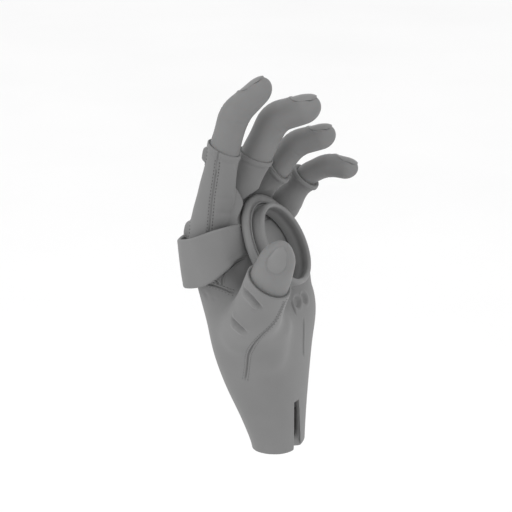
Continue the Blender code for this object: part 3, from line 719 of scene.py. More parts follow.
def sleeve_point(digit, s, phi, extra=0.0):
    """Points on a sleeve's outside, with their outward ways."""
    slant = digit.hem_slant * ease(s / digit.hem * 2 - 1)
    centres, _, facing = sleeve_line(digit, s - slant * np.cos(phi))
    radius = sleeve_profile(digit, s)
    depth = radius * (1 + 0.07 * ease((8 * MM - s) / (20 * MM)))
    out = np.cos(phi)[:, None] * facing + np.sin(phi)[:, None] * ACROSS
    palmward = ((depth + extra) * np.cos(phi))[:, None] * facing
    return centres + palmward + ((radius + extra) * np.sin(phi))[:, None] * ACROSS, out


def sleeve_piece(digit):
    """A finger's glove sleeve, with its sewn seam and its turned-in hem."""
    end = digit.hem
    phi = full_turn(SLEEVE_COLUMNS)
    rings = []
    for s in np.append(np.arange(-SLEEVE_DROP, end, SLEEVE_STEP), end):
        level = np.full_like(phi, s)
        beside = np.abs(turned_from(phi, seam_turn(digit, s))) * sleeve_profile(digit, level)[0]
        groove = -1.0 * MM * bell(beside, 0.5 * MM) + 0.15 * MM * bell(beside - 0.9 * MM, 0.3 * MM)
        groove = groove - 0.25 * MM * bell(beside - SEAM_HALF, 0.35 * MM)
        extra = sleeve_relief(digit, level, phi) + groove
        rings.append(behind_ring(sleeve_point(digit, level, phi, extra)[0]))
    snug = SNUG * digit.radius
    lip = sleeve_profile(digit, np.array([end]))[0]
    hem_rows = ((0.3, lip - 0.05 * MM), (0.3, lip - 0.4 * MM), (-0.6, snug), (-5, snug), (-11, snug))
    for above, radius in hem_rows:
        level = np.full_like(phi, end + above * MM)
        outer = sleeve_profile(digit, np.minimum(level, end))
        rings.append(sleeve_point(digit, level, phi, np.maximum(radius, snug) - outer)[0])
    made = outward(new_piece(f"{digit.name}_glove_sleeve", *loft(rings), GLOVE))
    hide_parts(f"{digit.name}_sleeve")
    bend_sleeve(digit, made)
    stitches(digit)


def bend_sleeve(digit, made):
    """Bake a sleeve's, or its thread's, placement into its mesh; nothing is bent over the knuckle."""
    along = digit.ahead(digit.near)
    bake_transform(made)


# ---- stitching

STITCH_LENGTH = 1.2 * MM
STITCH_PITCH = 1.9 * MM
STITCH_RADIUS = 0.23 * MM
SEAM_HALF = 1.4 * MM          # half the space between a sleeve seam's two rows
THREAD_SIDES = 6
SKIN_SEAM_HALF = 1.6 * MM     # the same for the seams on the hand, where the thread is finer
SKIN_THREAD_SIZE = 0.7


def thread_mesh(places, ahead, normals, size=1.0):
    """Small sunk loops of thread, one at each place."""
    turns = full_turn(THREAD_SIDES)
    first = tuple(range(THREAD_SIDES))
    loops = []
    for place, way, normal in zip(places, ahead, normals):
        across = np.cross(normal, way)
        across /= max(np.linalg.norm(across), 1e-9)
        rings = []
        for share in np.linspace(-1, 1, 7):
            thick = size * STITCH_RADIUS * math.sqrt(max(0.03, 1 - abs(share) ** 3))
            rise = normal * STITCH_RADIUS * (0.75 - 1.5 * share**2)
            centre = place + size * (way * share * STITCH_LENGTH / 2 + rise)
            ring = np.outer(np.cos(turns), across) + np.outer(np.sin(turns), normal)
            rings.append(centre + thick * ring)
        verts, faces = loft(rings)
        last = tuple(i + len(verts) - THREAD_SIDES for i in first)
        loops.append((verts, faces + [first[::-1], last]))
    return merged(loops)


def stitches(digit):
    """Double rows beside the sleeve's seam and one row round each knuckle pad."""
    places, ways, normals = [], [], []

    def sew(levels, turns, sunk=0.0, closed=False):
        extra = sleeve_relief(digit, levels, turns) - sunk
        points, out = sleeve_point(digit, levels, turns, extra)
        points = behind_ring(points)
        ahead = tangents(points)
        if closed:
            ahead[0] = ahead[-1] = unit(points[1] - points[-2])
        places.extend(points)
        ways.extend(ahead)
        normals.extend(out)

    levels = np.arange(-16 * MM, digit.hem - 4.5 * MM, STITCH_PITCH)
    radius = sleeve_profile(digit, levels)
    for offset in (-SEAM_HALF, SEAM_HALF):
        sew(levels, seam_turn(digit, levels) + offset / radius, 0.25 * MM)
    for place, reach, spread, _ in pad_places(digit):
        count = int(math.pi * 1.25 * (reach + spread * 9 * MM) / STITCH_PITCH)
        turn = full_turn(count)
        sew(place + 1.2 * reach * np.cos(turn), math.pi + 1.2 * spread * np.sin(turn), closed=True)
    made = new_piece(f"{digit.name}_sleeve_stitching", *thread_mesh(places, ways, normals), THREAD)
    bend_sleeve(digit, made)


# ---- the glove's hand and cuff

GLOVE_STATIONS = (
    # height, centre x, half depth, half width, sideways skew, slope of the section
    (0, 0, 14.2, 21.2, 0.00, 0.0),
    (20, -3.5, 17.7, 26.7, 0.02, 0.0),
    (40, -7.5, 21.7, 32.2, 0.06, 0.0),
    (60, -10.5, 25.2, 35.2, 0.10, 0.1),
    (80, -11.5, 26.7, 37.7, 0.15, 0.3),
    (95, -15.4, 25.2, 40.0, 0.17, 0.6),
    (107, -21.8, 22.0, 41.2, 0.14, 0.9),
    (114, -25.2, 19.4, 40.6, 0.13, 1.0),
    (122, -28.2, 16.6, 38.6, 0.12, 1.0),
    (130, -30.6, 13.2, 36.0, 0.12, 1.0),
    (136, -31.6, 8.5, 31.0, 0.12, 1.0),
)
GLOVE_SQUARENESS = 2.4
KNUCKLE_LINE_FALL = 0.19
PALM_MIDDLE = 1.5
VOXEL = 0.85 * MM
GLOVE_TURNS = full_turn(96)


def glove_rings(heights, proud=0.0):
    """Sections of the palm and wrist, as superellipses that follow the knuckles' slope."""
    power = 2 / GLOVE_SQUARENESS
    cos, sin = np.cos(GLOVE_TURNS), np.sin(GLOVE_TURNS)
    rings = []
    for height, row in zip(heights, table_at(GLOVE_STATIONS, heights)):
        centre, depth, width, skew, slope = row
        x = np.sign(cos) * np.abs(cos) ** power * (depth + proud)
        y = np.sign(sin) * np.abs(sin) ** power * (width + proud)
        drift = PALM_MIDDLE * ease(height / 80)
        fall = slope * KNUCKLE_LINE_FALL * y
        rings.append(np.stack([centre + x + skew * y, y + drift, height - fall], axis=1) * MM)
    return rings


def lump(centre_line, radii, columns=32):
    """A closed round loft along a centre line, with rounded ends."""
    line = np.asarray(centre_line, float)
    ways = tangents(line)
    turns = full_turn(columns)

    def ring(centre, way, radius):
        first = unit(np.array((1.0, 0.0, 0.0)) - way[0] * way)
        second = np.cross(way, first)
        return centre + radius * (np.outer(np.cos(turns), first) + np.outer(np.sin(turns), second))

    rings = [ring(*each) for each in zip(line, ways, radii)]
    for angle in (30, 55, 80):
        out, size = math.sin(math.radians(angle)), math.cos(math.radians(angle))
        rings.insert(0, ring(line[0] - ways[0] * radii[0] * out, ways[0], radii[0] * size))
        rings.append(ring(line[-1] + ways[-1] * radii[-1] * out, ways[-1], radii[-1] * size))
    return loft(rings, cap_start=True, cap_end=True)


def take_away(made, verts, faces):
    """Cut a closed shape out of a piece."""
    tool = outward(new_piece("tool", verts, faces, GLOVE))
    change = made.modifiers.new("cut", "BOOLEAN")
    change.operation = "DIFFERENCE"
    change.solver = "MANIFOLD"
    change.object = tool
    apply_modifiers(made)
    bpy.data.objects.remove(tool, do_unlink=True)


def apply_modifiers(made):
    """Make a piece's modified mesh its own."""
    graph = bpy.context.evaluated_depsgraph_get()
    mesh = bpy.data.meshes.new_from_object(made.evaluated_get(graph))
    made.modifiers.clear()
    made.data = mesh


def box_shape(low, high):
    """A closed box between two corners."""
    verts = [np.array((x, y, z)) for z in (low[2], high[2]) for x, y in
             ((low[0], low[1]), (high[0], low[1]), (high[0], high[1]), (low[0], high[1]))]
    faces = [(3, 2, 1, 0), (4, 5, 6, 7), (0, 1, 5, 4), (1, 2, 6, 5), (2, 3, 7, 6), (3, 0, 4, 7)]
    return verts, faces


THUMB = DIGITS["thumb"]
THUMB_HEM_WAY = unit(THUMB.way + (0.115, 0.21, -0.05))
THUMB_CUT = 8 * MM            # the thumb's sleeve parts from the hand this far above the knuckle
THUMB_REACH = 18.5 * MM       # what lies nearer to the thumb's line than this is the thumb's
HEM_REACH = 22 * MM           # the same beyond the hem
CUFF_HOLLOW = 46              # the cuff is open up to this height, in millimetres
CUFF_WALL = 3.4               # in millimetres
GUSSET = 2.1                  # extra wall behind the slit, in millimetres
GUSSET_TURN = math.radians(-18.6)
SLIT_BACK = (15.4 * MM, 2 * MM)    # the back of the slit slopes inwards from the open end to its top
CUFF_LIP = 0.72               # the turned-in edge narrows the open end to this share of the hollow
SLIT_LOW, SLIT_HIGH = -1.9 * MM, 3.4 * MM
SLIT_SPREAD = 2.8 * MM        # how much wider the slit is at the open end
SLIT_TOP = 30 * MM
SLIT_TURN = math.radians(-31)


def thumb_axis_place(points):
    """How far points lie up the thumb's first bone, and how far from its line."""
    rel = points - THUMB.knuckle
    along = rel @ THUMB.way
    away = np.linalg.norm(rel - along[:, None] * THUMB.way, axis=1)
    return along, away


def voxels(made, size):
    """Remake a piece as one skin of even faces."""
    change = made.modifiers.new("voxels", "REMESH")
    change.mode = "VOXEL"
    change.voxel_size = size
    apply_modifiers(made)


def finger_root(digit):
    """A tube just inside a finger sleeve's foot, so that the hand's skin rises to meet it."""
    places = np.linspace(-20, 13, 12) * MM
    centres, _, _ = sleeve_line(digit, places)
    return lump(centres, sleeve_profile(digit, places) - 0.9 * MM)


def web(first, second, top, radius, palmward):
    """The web between two fingers, up to a height above their knuckles."""
    a, b = DIGITS[first], DIGITS[second]
    middle = (a.knuckle + b.knuckle) / 2 + np.array((palmward, 0, 0)) * MM
    way = unit(a.ahead(a.near) + b.ahead(b.near))
    line = [middle + np.array((3, 0, -15)) * MM, middle, middle + (top - radius) * MM * way]
    radii = np.interp(np.arange(12), (0, 6, 11), (radius, radius, 0.45 * radius))
    return lump(curve_through(line, 12), radii * MM)


def slit_shape():
    """The cuff's slit: a wedge that widens to the open end."""
    verts, faces = box_shape((SLIT_BACK[0], SLIT_LOW, -8 * MM), (30 * MM, SLIT_HIGH, SLIT_TOP))
    cos, sin = math.cos(SLIT_TURN), math.sin(SLIT_TURN)
    out = []
    for x, y, z in verts:
        if z > 0:
            x = max(x - SLIT_BACK[0] + SLIT_BACK[1], SLIT_BACK[1])
        if y > 0:
            y += SLIT_SPREAD * (SLIT_TOP - z) / SLIT_TOP
        out.append(np.array((cos * x - sin * y, sin * x + cos * y, z)))
    return out, faces


WEBS = (
    # two fingers, height above their knuckles, radius, how far towards the palm
    ("index", "middle", 22, 10, 4.5),
    ("middle", "ring", 20, 9, 4.0),
    ("ring", "little", 31, 9, -4.0),
)
HAND_LUMPS = (
    # centre line's points and number of rings, first and last radius
    (((-20, -18, 127), (-19, 4, 126), (-15, 24, 121)), 12, 10.5, 10.5),             # knuckle heads
    (((-22, -17, 132.5), (-21.5, -2, 132.5), (-20, 13, 130.5)), 12, 9.8, 9.8),      # their crest
    (((0, 19, 84), (-1, 22, 98)), 6, 12.5, 12.5),                                   # palm's outer edge
    (((-14.6, -21.2, 116), (-16.2, -21.4, 134), (-23.6, -22, 156)), 10, 12.1, 6.6),    # index's root
)
THUMB_ROOT_RADII = ((0, 0.25, 0.5, 0.72, 0.9, 1), (15, 21.5, 20, 15.0, 13.5, 13.4))
HEM_HOLD = 0.15               # how much of the smoothing the thumb's hem takes
SKIN_ROUNDS, WRIST_ROUNDS = 55, 130
WRIST_TOP = 92 * MM           # the second smoothing works below this


def thumb_root():
    """The mound over the thumb's root and the thumb itself up to past its hem."""
    knuckle, way = THUMB.knuckle, THUMB.way
    line = [(-2, -22.5, 64), (-5, -23, 74), knuckle / MM - (5, -12, 5),
            (knuckle + 8 * MM * way) / MM, (knuckle + (THUMB.hem + 4 * MM) * way) / MM]
    radii = np.interp(np.linspace(0, 1, 28), *THUMB_ROOT_RADII)
    return lump(curve_through(line, 28) * MM, radii * MM)


def glove_core():
    """The hand, the thumb's root and the webs as one rounded surface, with its cuff cut open."""
    heights = np.concatenate([np.arange(-24, 130, 3.0), [130, 133, 136]])
    body = glove_rings(heights)
    for ring, height in zip(body, heights):
        ring[:, 2] += min(height, 0) * MM
    shapes = [loft(body, cap_start=True, cap_end=True), thumb_root()]
    shapes += [finger_root(digit) for digit in DIGITS.values() if digit.name != "thumb"]
    shapes += [web(*each) for each in WEBS]
    for points, count, first, last in HAND_LUMPS:
        line = curve_through(points, count) * MM
        shapes.append(lump(line, np.linspace(first, last, count) * MM))
    made = new_piece("glove_hand", *merged(shapes), GLOVE)
    voxels(made, VOXEL)
    place = coordinates(made.data)
    along, away = thumb_axis_place(place)
    free = np.ones(len(place))
    free[(along > THUMB.hem - 8 * MM) & (away < 20 * MM)] = HEM_HOLD
    relax(made.data, SKIN_ROUNDS, 0.5 * free)
    relax(made.data, WRIST_ROUNDS, 0.5 * ease((WRIST_TOP - place[:, 2]) / (20 * MM)) * free)
    set_coordinates(made.data, behind_ring(coordinates(made.data)))
    relax(made.data, 3, 0.5)
    gusset = GUSSET * bell(turned_from(GLOVE_TURNS, GUSSET_TURN), 0.3)
    hollow = glove_rings(np.arange(0, CUFF_HOLLOW + 1, 4.0), -CUFF_WALL - gusset)
    hollow = [ring * (1, CUFF_LIP, 1) for ring in hollow[:2]] + hollow[2:]
    hollow[0][:, 2] = -25 * MM
    below = box_shape((-80 * MM, -80 * MM, -60 * MM), (80 * MM, 80 * MM, 0.0))
    for cut in (loft(hollow, cap_start=True, cap_end=True), below, slit_shape()):
        take_away(made, *cut)
    return made


# points in millimetres that each line passes near on the hand's skin
THUMB_SEAM = ((22, -55, 109), (20, -53, 103), (16, -51, 94), (11, -53, 89), (4.5, -50, 81),
              (-0.8, -45.5, 73), (-4, -44, 67), (-7.4, -40, 58), (-9.6, -35, 47.5))
THUMB_SEAM_ROUNDS = 260       # how many times the thumb's long seam is smoothed
WEB_SEAMS = (
    ((-13, -24, 121), (-15, -31, 119), (-19, -37, 116), (-21, -39, 110), (-20, -38, 105)),
    ((-26, -40, 112), (-23, -39, 108), (-21, -39, 106)),
    ((-37, -37, 106), (-31, -39, 107), (-23, -39, 106), (-15, -38, 103), (-12, -37, 103)),
)
PALM_LINES = (((15, 0, 80), (15, 0, 67), (15, 2, 53)), ((9, -8, 93), (11, -8, 87), (13, -7, 82)))
WRINKLES = (
    # points, depth, half width
    (((-1, -58, 114), (6, -63, 111), (12, -62.5, 102.5)), 2.0, 1.3),
    (((5, -62, 105), (9, -61, 102)), 0.7, 1.0),
    (((-11, -51, 93), (-5, -55, 90), (0, -54, 86)), 2.3, 1.6),
    (((-5, -52, 83), (-2, -52, 82)), 0.6, 1.0),
    (((-33, -37, 103), (-30, -37, 96)), 0.5, 1.3),
    (((-27, -38, 100), (-25, -38, 96)), 0.5, 1.2),
)
DIMPLES = ((11.8, -2.4, 89.5), (13.1, 6.7, 89.2))
DIMPLE_REACH, DIMPLE_DEPTH = 4.0, 1.8    # in millimetres
REFINE_REACHES = (3.4, 2.4)   # the mesh is made finer twice, this near to each line, in millimetres
PATH_STEP = 0.4 * MM
# depth, half width and height of the ridge beside them, in millimetres
SEWN, CREASED = (0.95, 0.45, 0.25), (1.1, 0.6, 0.15)


def skin_tree(mesh):
    """A search tree of a mesh's faces."""
    bm = bmesh.new()
    bm.from_mesh(mesh)
    made = BVHTree.FromBMesh(bm)
    bm.free()
    return made


def skin_path(tree, points, rounds=45):
    """A line through a few points, laid on the skin, with the skin's normals along it."""
    path = on_surface(tree, even_steps(curve_through(np.array(points) * MM, 120), PATH_STEP))[0]
    for _ in range(rounds):
        path[1:-1] = (path[:-2] + 2 * path[1:-1] + path[2:]) / 4
    return on_surface(tree, even_steps(path, PATH_STEP))


def carve_seams(made):
    """Sewn seams, creases and dimples pressed into the hand's skin, on a finer mesh near them."""
    mesh = made.data
    tree = skin_tree(mesh)
    carved = [(points, SEWN) for points in WEB_SEAMS] + [(points, CREASED) for points in PALM_LINES]
    carved += [(points, (depth, width, 0.35 * depth)) for points, depth, width in WRINKLES]
    lines = [(skin_path(tree, THUMB_SEAM, THUMB_SEAM_ROUNDS)[0], *SEWN)]
    lines += [(skin_path(tree, points)[0], *cut) for points, cut in carved]
    dimples = [np.array(tree.find_nearest(Vector(np.array(point) * MM))[0]) for point in DIMPLES]
    for reach in REFINE_REACHES:
        place = coordinates(mesh)
        near = np.zeros(len(place), bool)
        for path, _, width, _ in lines:
            near |= distance_to_path(place, path)[0] < (reach + width) * MM
        for middle in dimples:
            near |= np.linalg.norm(place - middle, axis=1) < 6 * MM
        with opened(mesh) as bm:
            edges = [e for e in bm.edges if near[e.verts[0].index] and near[e.verts[1].index]]
            bmesh.ops.subdivide_edges(bm, edges=edges, cuts=1, use_grid_fill=True)
    relax(mesh, 2, 0.5)
    place, normals = coordinates(mesh), coordinates(mesh, "normal")
    change = np.zeros(len(place))
    for path, depth, width, ridge in lines:
        away, where = distance_to_path(place, path)
        ends = np.minimum(where, len(path) - 1 - where) * PATH_STEP
        fade = ease(ends / (5 * MM) + 0.1)
        change -= fade * depth * MM * bell(away, width * MM)
        change += fade * ridge * MM * bell(away - 2.4 * width * MM, width * MM)
    for middle in dimples:
        away = np.linalg.norm((place - middle) / MM, axis=1) / DIMPLE_REACH
        change -= DIMPLE_DEPTH * MM * ease((1.05 - away) / 0.6) - 0.2 * MM * bell(away - 1.2, 0.2)
    set_coordinates(mesh, place + change[:, None] * normals)


def sew_along(name, tree, path, out):
    """A piece of thread beside a seam on the skin, on both sides."""
    ahead = tangents(path)
    places, ways, normals = [], [], []
    pick = slice(2, len(path) - 2, round(STITCH_PITCH / PATH_STEP))
    for side in (-SKIN_SEAM_HALF, SKIN_SEAM_HALF):
        across = np.cross(out[pick], ahead[pick])
        spot, normal = on_surface(tree, path[pick] + side * across)
        places.extend(spot + 0.08 * MM * normal)
        ways.extend(ahead[pick])
        normals.extend(normal)
    made = new_piece(name, *thread_mesh(places, ways, normals, SKIN_THREAD_SIZE), THREAD)
    return made


def bend_thumb(made):
    """Bake the thumb's sleeve's, or its thread's, placement into its mesh; nothing is bent over the
    knuckle.
    """
    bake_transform(made)


def sew_hand(tree):
    """The hand's own stitching: beside the thumb's seam and along the edge of the web."""
    bend_thumb(sew_along("thumb_seam_stitching", tree, *skin_path(tree, THUMB_SEAM, THUMB_SEAM_ROUNDS)))
    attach(sew_along("web_seam_stitching", tree, *skin_path(tree, WEB_SEAMS[-1])), "palm")


def finish_thumb_hem(made):
    """Open the thumb's sleeve above its hem: drop what stands beyond it."""
    with opened(made.data) as bm:
        for place, way in ((THUMB.hem, THUMB_HEM_WAY), (THUMB_CUT, THUMB.way)):
            bmesh.ops.bisect_plane(bm, geom=bm.verts[:] + bm.edges[:] + bm.faces[:], dist=1e-6,
                                   plane_co=Vector(THUMB.knuckle + place * THUMB.way), plane_no=Vector(way))
        centres = np.array([face.calc_center_median() for face in bm.faces])
        _, away = thumb_axis_place(centres)
        above = (centres - THUMB.knuckle - THUMB.hem * THUMB.way) @ THUMB_HEM_WAY > 0
        doomed = [face for face, out in zip(bm.faces[:], above & (away < HEM_REACH)) if out]
        bmesh.ops.delete(bm, geom=doomed, context="FACES")


def place_key(vertex):
    """A vertex's place in whole micrometres."""
    return tuple(np.round(np.array(vertex.co) * 1e6).astype(int))


def split_thumb(made):
    """Part the thumb's sleeve from the hand, keeping the shared normals at the cut."""
    mesh = made.data
    mesh.update()
    normals = {place_key(v): tuple(v.normal) for v in mesh.vertices}
    centres = np.array([tuple(p.center) for p in mesh.polygons])
    along, away = thumb_axis_place(centres)
    of_thumb = (along > THUMB_CUT) & (away < THUMB_REACH)
    result = []
    for name, keep in (("glove_hand_skin", ~of_thumb), ("thumb_glove_sleeve", of_thumb)):
        bm = bmesh.new()
        bm.from_mesh(mesh)
        doomed = [face for face, stays in zip(bm.faces[:], keep) if not stays]
        bmesh.ops.delete(bm, geom=doomed, context="FACES")
        part = bpy.data.meshes.new(name)
        bm.to_mesh(part)
        bm.free()
        part.materials.clear()
        part.materials.append(GLOVE)
        result.append(put_in_scene(name, part))
    bpy.data.objects.remove(made, do_unlink=True)
    return result, normals


def keep_normals(piece, normals):
    """Shade a piece with the normals it had before it was parted."""
    mesh = piece.data
    mesh.shade_smooth()
    wanted = [normals.get(place_key(v), tuple(v.normal)) for v in mesh.vertices]
    mesh.normals_split_custom_set_from_vertices(wanted)


THUMB_HEM_ROWS = (
    # height above the hem's rim and radius, in millimetres
    (0.35, 12.9),
    (0.35, 12.3),
    (-0.3, 11.7),
    (-0.6, SNUG * THUMB.radius / MM),
    (-12, SNUG * THUMB.radius / MM),
)


def add_thumb_hem(piece):
    """A turned-in hem on the sleeve's open end."""
    rim = THUMB.knuckle + THUMB.hem * THUMB.way
    with opened(piece.data) as bm:
        edges = [e for e in bm.edges if e.is_boundary
                 and all(abs((np.array(v.co) - rim) @ THUMB_HEM_WAY) < 0.3 * MM for v in e.verts)]
        for above, radius in THUMB_HEM_ROWS:
            grown = bmesh.ops.extrude_edge_only(bm, edges=edges)["geom"]
            edges = [item for item in grown if isinstance(item, bmesh.types.BMEdge)]
            for v in {item for item in grown if isinstance(item, bmesh.types.BMVert)}:
                rel = np.array(v.co) - THUMB.knuckle
                out = unit(rel - (rel @ THUMB.way) * THUMB.way)
                base = THUMB.knuckle + out * radius * MM
                fall = (rim + above * MM * THUMB.way - base) @ THUMB_HEM_WAY / (THUMB.way @ THUMB_HEM_WAY)
                v.co = Vector(base + fall * THUMB.way)
        bmesh.ops.recalc_face_normals(bm, faces=bm.faces)


def build_glove():
    """The glove's hand with its cuff, the thumb's sleeve, and the thread on both."""
    core = glove_core()
    sew_hand(skin_tree(core.data))
    carve_seams(core)
    finish_thumb_hem(core)
    (hand, sleeve), normals = split_thumb(core)
    add_thumb_hem(sleeve)
    keep_normals(hand, normals)
    keep_normals(sleeve, normals)
    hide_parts("glove_body", "thenar_pad")
    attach(hand, "palm")
    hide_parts("thumb_sleeve")
    bend_thumb(sleeve)


# ---- cup ring

RING_SHARP = math.radians(50)
GRIP_DEPTH = 0.25 * MM        # a shallow groove inside the collar, from and to these heights
GRIP_LOW, GRIP_HIGH = -7 * MM, -3.8 * MM
FLANGE_DEPTH = 6.6 * MM       # the flange sits this far behind the collar's mouth
FLANGE_ROLL = 2.3 * MM        # radius of its rolled rim
FLANGE_BACK = -4.0 * MM
FLANGE_CHORD = 18 * MM        # the flange is cut straight here, below the ring


def turned_piece(name, profile, matrix, steps=160):
    """A closed profile of (radius, height) turned about the matrix's local Z."""
    radius, height = np.array(profile).T
    rings = [np.stack([radius * math.cos(t), radius * math.sin(t), height], axis=1)
             for t in full_turn(steps)]
    made = new_piece(name, *loft(rings, wrap=True), RING)
    made.data.transform(matrix)
    made.data.update()
    outward(made)
    made.data.set_sharp_from_angle(angle=RING_SHARP)
    return made


def arc(centre, radius, start, end, count):
    """Points of a profile on an arc, between two angles in degrees."""
    turns = np.radians(np.linspace(start, end, count))
    return [(centre[0] + radius * math.cos(t), centre[1] + radius * math.sin(t)) for t in turns]


def build_ring():
    """The double ring that holds a cup: a deep collar inside a flange with a rolled rim."""
    rim = (RING_COLLAR - RING_BORE) / 2
    grip = RING_BORE + GRIP_DEPTH
    collar = [(RING_BORE, -RING_BACK), (RING_BORE, GRIP_LOW), (grip, GRIP_LOW + 0.4 * MM),
              (grip, GRIP_HIGH - 0.4 * MM), (RING_BORE, GRIP_HIGH)]
    collar += arc((RING_BORE + rim, -rim), rim, 180, 0, 15) + [(RING_COLLAR, -RING_BACK)]
    made = turned_piece("cup_ring_collar", collar, ring_frame())
    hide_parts("ring_collar")
    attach(made, "palm")
    inside, outside, roll = RING_COLLAR + 0.03 * MM, RING_FLANGE, FLANGE_ROLL
    flange = [(inside, FLANGE_BACK), (inside, -0.7 * MM), (inside + 0.5 * MM, -1.0 * MM),
              (inside + 1.1 * MM, -0.9 * MM)]
    flange += arc((inside + 2.1 * MM, 0.15 * MM), 0.6 * MM, 190, -10, 9)
    flange += arc((outside - roll, -roll + 0.9 * MM), roll, 130, -75, 18)
    flange += [(outside - 1.6 * roll, FLANGE_BACK)]
    matrix = ring_frame(FLANGE_DEPTH)
    made = turned_piece("cup_ring_flange", flange, matrix)
    verts, faces = box_shape((FLANGE_CHORD, -50 * MM, -20 * MM), (FLANGE_CHORD + 30 * MM, 50 * MM, 20 * MM))
    take_away(made, [np.array(matrix @ Vector(v)) for v in verts], faces)
    made.data.set_sharp_from_angle(angle=RING_SHARP)
    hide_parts("ring_flange")
    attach(made, "palm")


# ---- strap

STRAP_STATIONS = (
    # round the hand from the palm: x, y, z, inward lean of the top edge in degrees, half width
    (-7.4, -6, 125.3, 28, 11.2),
    (-5.8, 10, 123.0, 28, 11.8),
    (-3.0, 28, 119.5, 24, 12.4),
    (-9.5, 46.0, 116.0, 12, 13.0),
    (-30.0, 44, 113.5, 2, 14.0),
    (-44.5, 16, 114.5, -5, 14.4),
    (-49.0, -13, 114.5, -7, 14.4),
    (-46.5, -34.5, 116.0, -6, 14.3),
    (-33.0, -44, 121.2, -2, 13.9),
    (-18.0, -43.5, 130.8, 4, 11.2),
    (-12.3, -33, 132.6, 20, 9.0),
    (-10.3, -20, 130.4, 27, 9.4),
)
STRAP_THICKNESS = 2.4 * MM
STRAP_BOW = 0.35 * MM         # how far the middle of the strap stands out from its edges
STRAP_COLUMNS = 25            # points across each side of the strap
STRAP_LINE_DEPTH = 0.12 * MM  # a pressed line runs along each edge, this far in from it
STRAP_LINE_PLACE = 2.6 * MM
STRAP_SEAM_ROW = 10.2         # the strap's cross seam lies between these two stations


def strap_rows(count):
    """The strap's stations read evenly round its closed loop."""
    rows = np.array(STRAP_STATIONS, float)
    out = []
    for place in np.linspace(0, len(rows), count, endpoint=False):
        i = int(place)
        out.append(catmull(*(rows[(i + k) % len(rows)] for k in (-1, 0, 1, 2)), place - i))
    return np.array(out)


def strap_section(centre, way, lean, half_width):
    """The strap's outline across its length: a bowed band with a pressed line near each edge."""
    half = STRAP_THICKNESS / 2
    level = unit(np.cross(way, (0, 0, 1)))
    upright = np.array((0, 0, 1)) * math.cos(lean) - level * math.sin(lean)
    side = unit(upright - (upright @ way) * way)
    out = np.cross(way, side)
    inner = half_width - half
    across = np.linspace(-1, 1, STRAP_COLUMNS)
    edge = [(math.cos(t), math.sin(t)) for t in np.radians(np.linspace(-90, 90, 7))][1:-1]
    ring = []
    for share in across:
        rib = STRAP_LINE_DEPTH * bell(abs(share) * inner - inner + STRAP_LINE_PLACE, 0.45 * MM)
        ring.append(centre + side * share * inner + out * (half + STRAP_BOW * (1 - share**2) - rib))
    for cos, sin in edge[::-1]:
        ring.append(centre + side * (inner + half * cos) + out * half * sin)
    for share in across[::-1]:
        ring.append(centre + side * share * inner + out * (-half + STRAP_BOW * (1 - share**2)))
    for cos, sin in edge:
        ring.append(centre - side * (inner + half * cos) + out * half * sin)
    return np.array(ring)


def sew_strap(ring, way, half_width):
    """The strap's cross seam: one row of thread on the outside of one of its sections."""
    columns = np.arange(STRAP_COLUMNS)
    count = int(2 * (half_width - STRAP_THICKNESS / 2) / STITCH_PITCH)
    wanted = np.linspace(0.7, STRAP_COLUMNS - 1.7, count)
    outside = ring[:STRAP_COLUMNS]
    places = np.stack([np.interp(wanted, columns, outside[:, axis]) for axis in range(3)], axis=1)
    across = unit(outside[-1] - outside[0])
    out = np.cross(way, across)
    stitched = thread_mesh(places + out * 0.1 * MM, [across] * count, [out] * count)
    thread = new_piece("strap_stitching", *stitched, THREAD)
    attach(thread, "palm")


def build_strap():
    """The wide strap round the knuckles, as one closed loop."""
    rows = strap_rows(300)
    centres = rows[:, :3] * MM
    ahead = np.roll(centres, -1, axis=0) - np.roll(centres, 1, axis=0)
    ahead /= np.linalg.norm(ahead, axis=1)[:, None]
    rings = [strap_section(centre, way, math.radians(row[3]), row[4] * MM)
             for centre, way, row in zip(centres, ahead, rows)]
    made = outward(new_piece("palm_strap_band", *loft(rings, wrap=True), WEBBING))
    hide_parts("palm_strap")
    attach(made, "palm")
    sewn = int(STRAP_SEAM_ROW * (len(rings) + 1) / len(STRAP_STATIONS))
    sew_strap(rings[sewn], ahead[sewn], rows[sewn, 4] * MM)


# ---- CAD pieces that stay

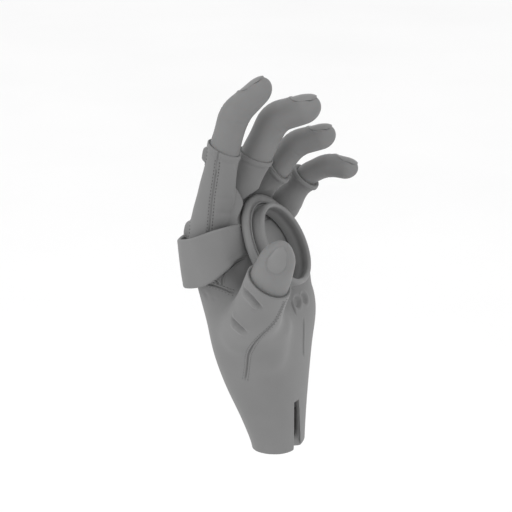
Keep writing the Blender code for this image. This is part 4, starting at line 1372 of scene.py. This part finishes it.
def dress_cad_nodes():
    """Give the CAD nodes that stay, metal and plastic, their looks."""
    slots = {item["node"]: item["material_slot"] for item in frame["record"]["subparts"]}
    for name, node in frame["nodes"].items():
        look = CAD_LOOKS.get(slots[name], GLOVE)
        node.data.materials.clear()
        node.data.materials.append(look)


# ---- stage

FLOOR = -0.25                 # the hand is shown held in the air by its wrist stud
HAND_MIDDLE = Vector((-0.013, -0.003, 0.115))


def build_stage():
    """A pale floor far below, an even white sky and two soft lamps."""
    surface = material("floor_look", (0.95, 0.94, 0.96), (0.9,), (3, 2))
    floor = new_piece("floor", [(-6, -6, FLOOR), (6, -6, FLOOR), (6, 6, FLOOR), (-6, 6, FLOOR)],
                      [(0, 1, 2, 3)], surface, smooth=False)
    world = bpy.data.worlds.new("studio")
    world.use_nodes = True
    background = world.node_tree.nodes["Background"]
    background.inputs["Color"].default_value = (1, 1, 1, 1)
    background.inputs["Strength"].default_value = 1.0
    bpy.context.scene.world = world
    lamp("key", (-0.9, -1.1, 1.5), 1.2, 6)
    lamp("fill", (1.4, -0.9, 0.8), 1.6, 2)
    bpy.context.scene.view_settings.view_transform = "Standard"


def lamp(name, place, size, power):
    """A soft square lamp that faces the hand."""
    light = bpy.data.lights.new(name, "AREA")
    light.size = size
    light.energy = power
    made = put_in_scene(name, light)
    made.location = place
    aim = HAND_MIDDLE - Vector(place)
    made.rotation_euler = aim.to_track_quat("-Z", "Y").to_euler()


CAMERA_PLACE = Vector((0.3137, -0.9019, 0.4073))
CAMERA_TARGET = Vector((-0.0134, -0.0033, 0.1149))
CAMERA_LENS = 121.6           # found from the ellipses of the ring and the cuff


def build_camera():
    """The photograph's camera."""
    camera = bpy.data.cameras.new("camera")
    camera.lens = CAMERA_LENS
    camera.sensor_width = 36
    made = put_in_scene("camera", camera)
    made.location = CAMERA_PLACE
    made.rotation_euler = (CAMERA_TARGET - CAMERA_PLACE).to_track_quat("-Z", "Y").to_euler()
    bpy.context.scene.camera = made


build_camera()
build_stage()
dress_cad_nodes()
build_glove()
for one in DIGITS.values():
    digit_piece(one)
    nail_piece(one)
    if one.name != "thumb":
        sleeve_piece(one)
build_ring()
build_strap()
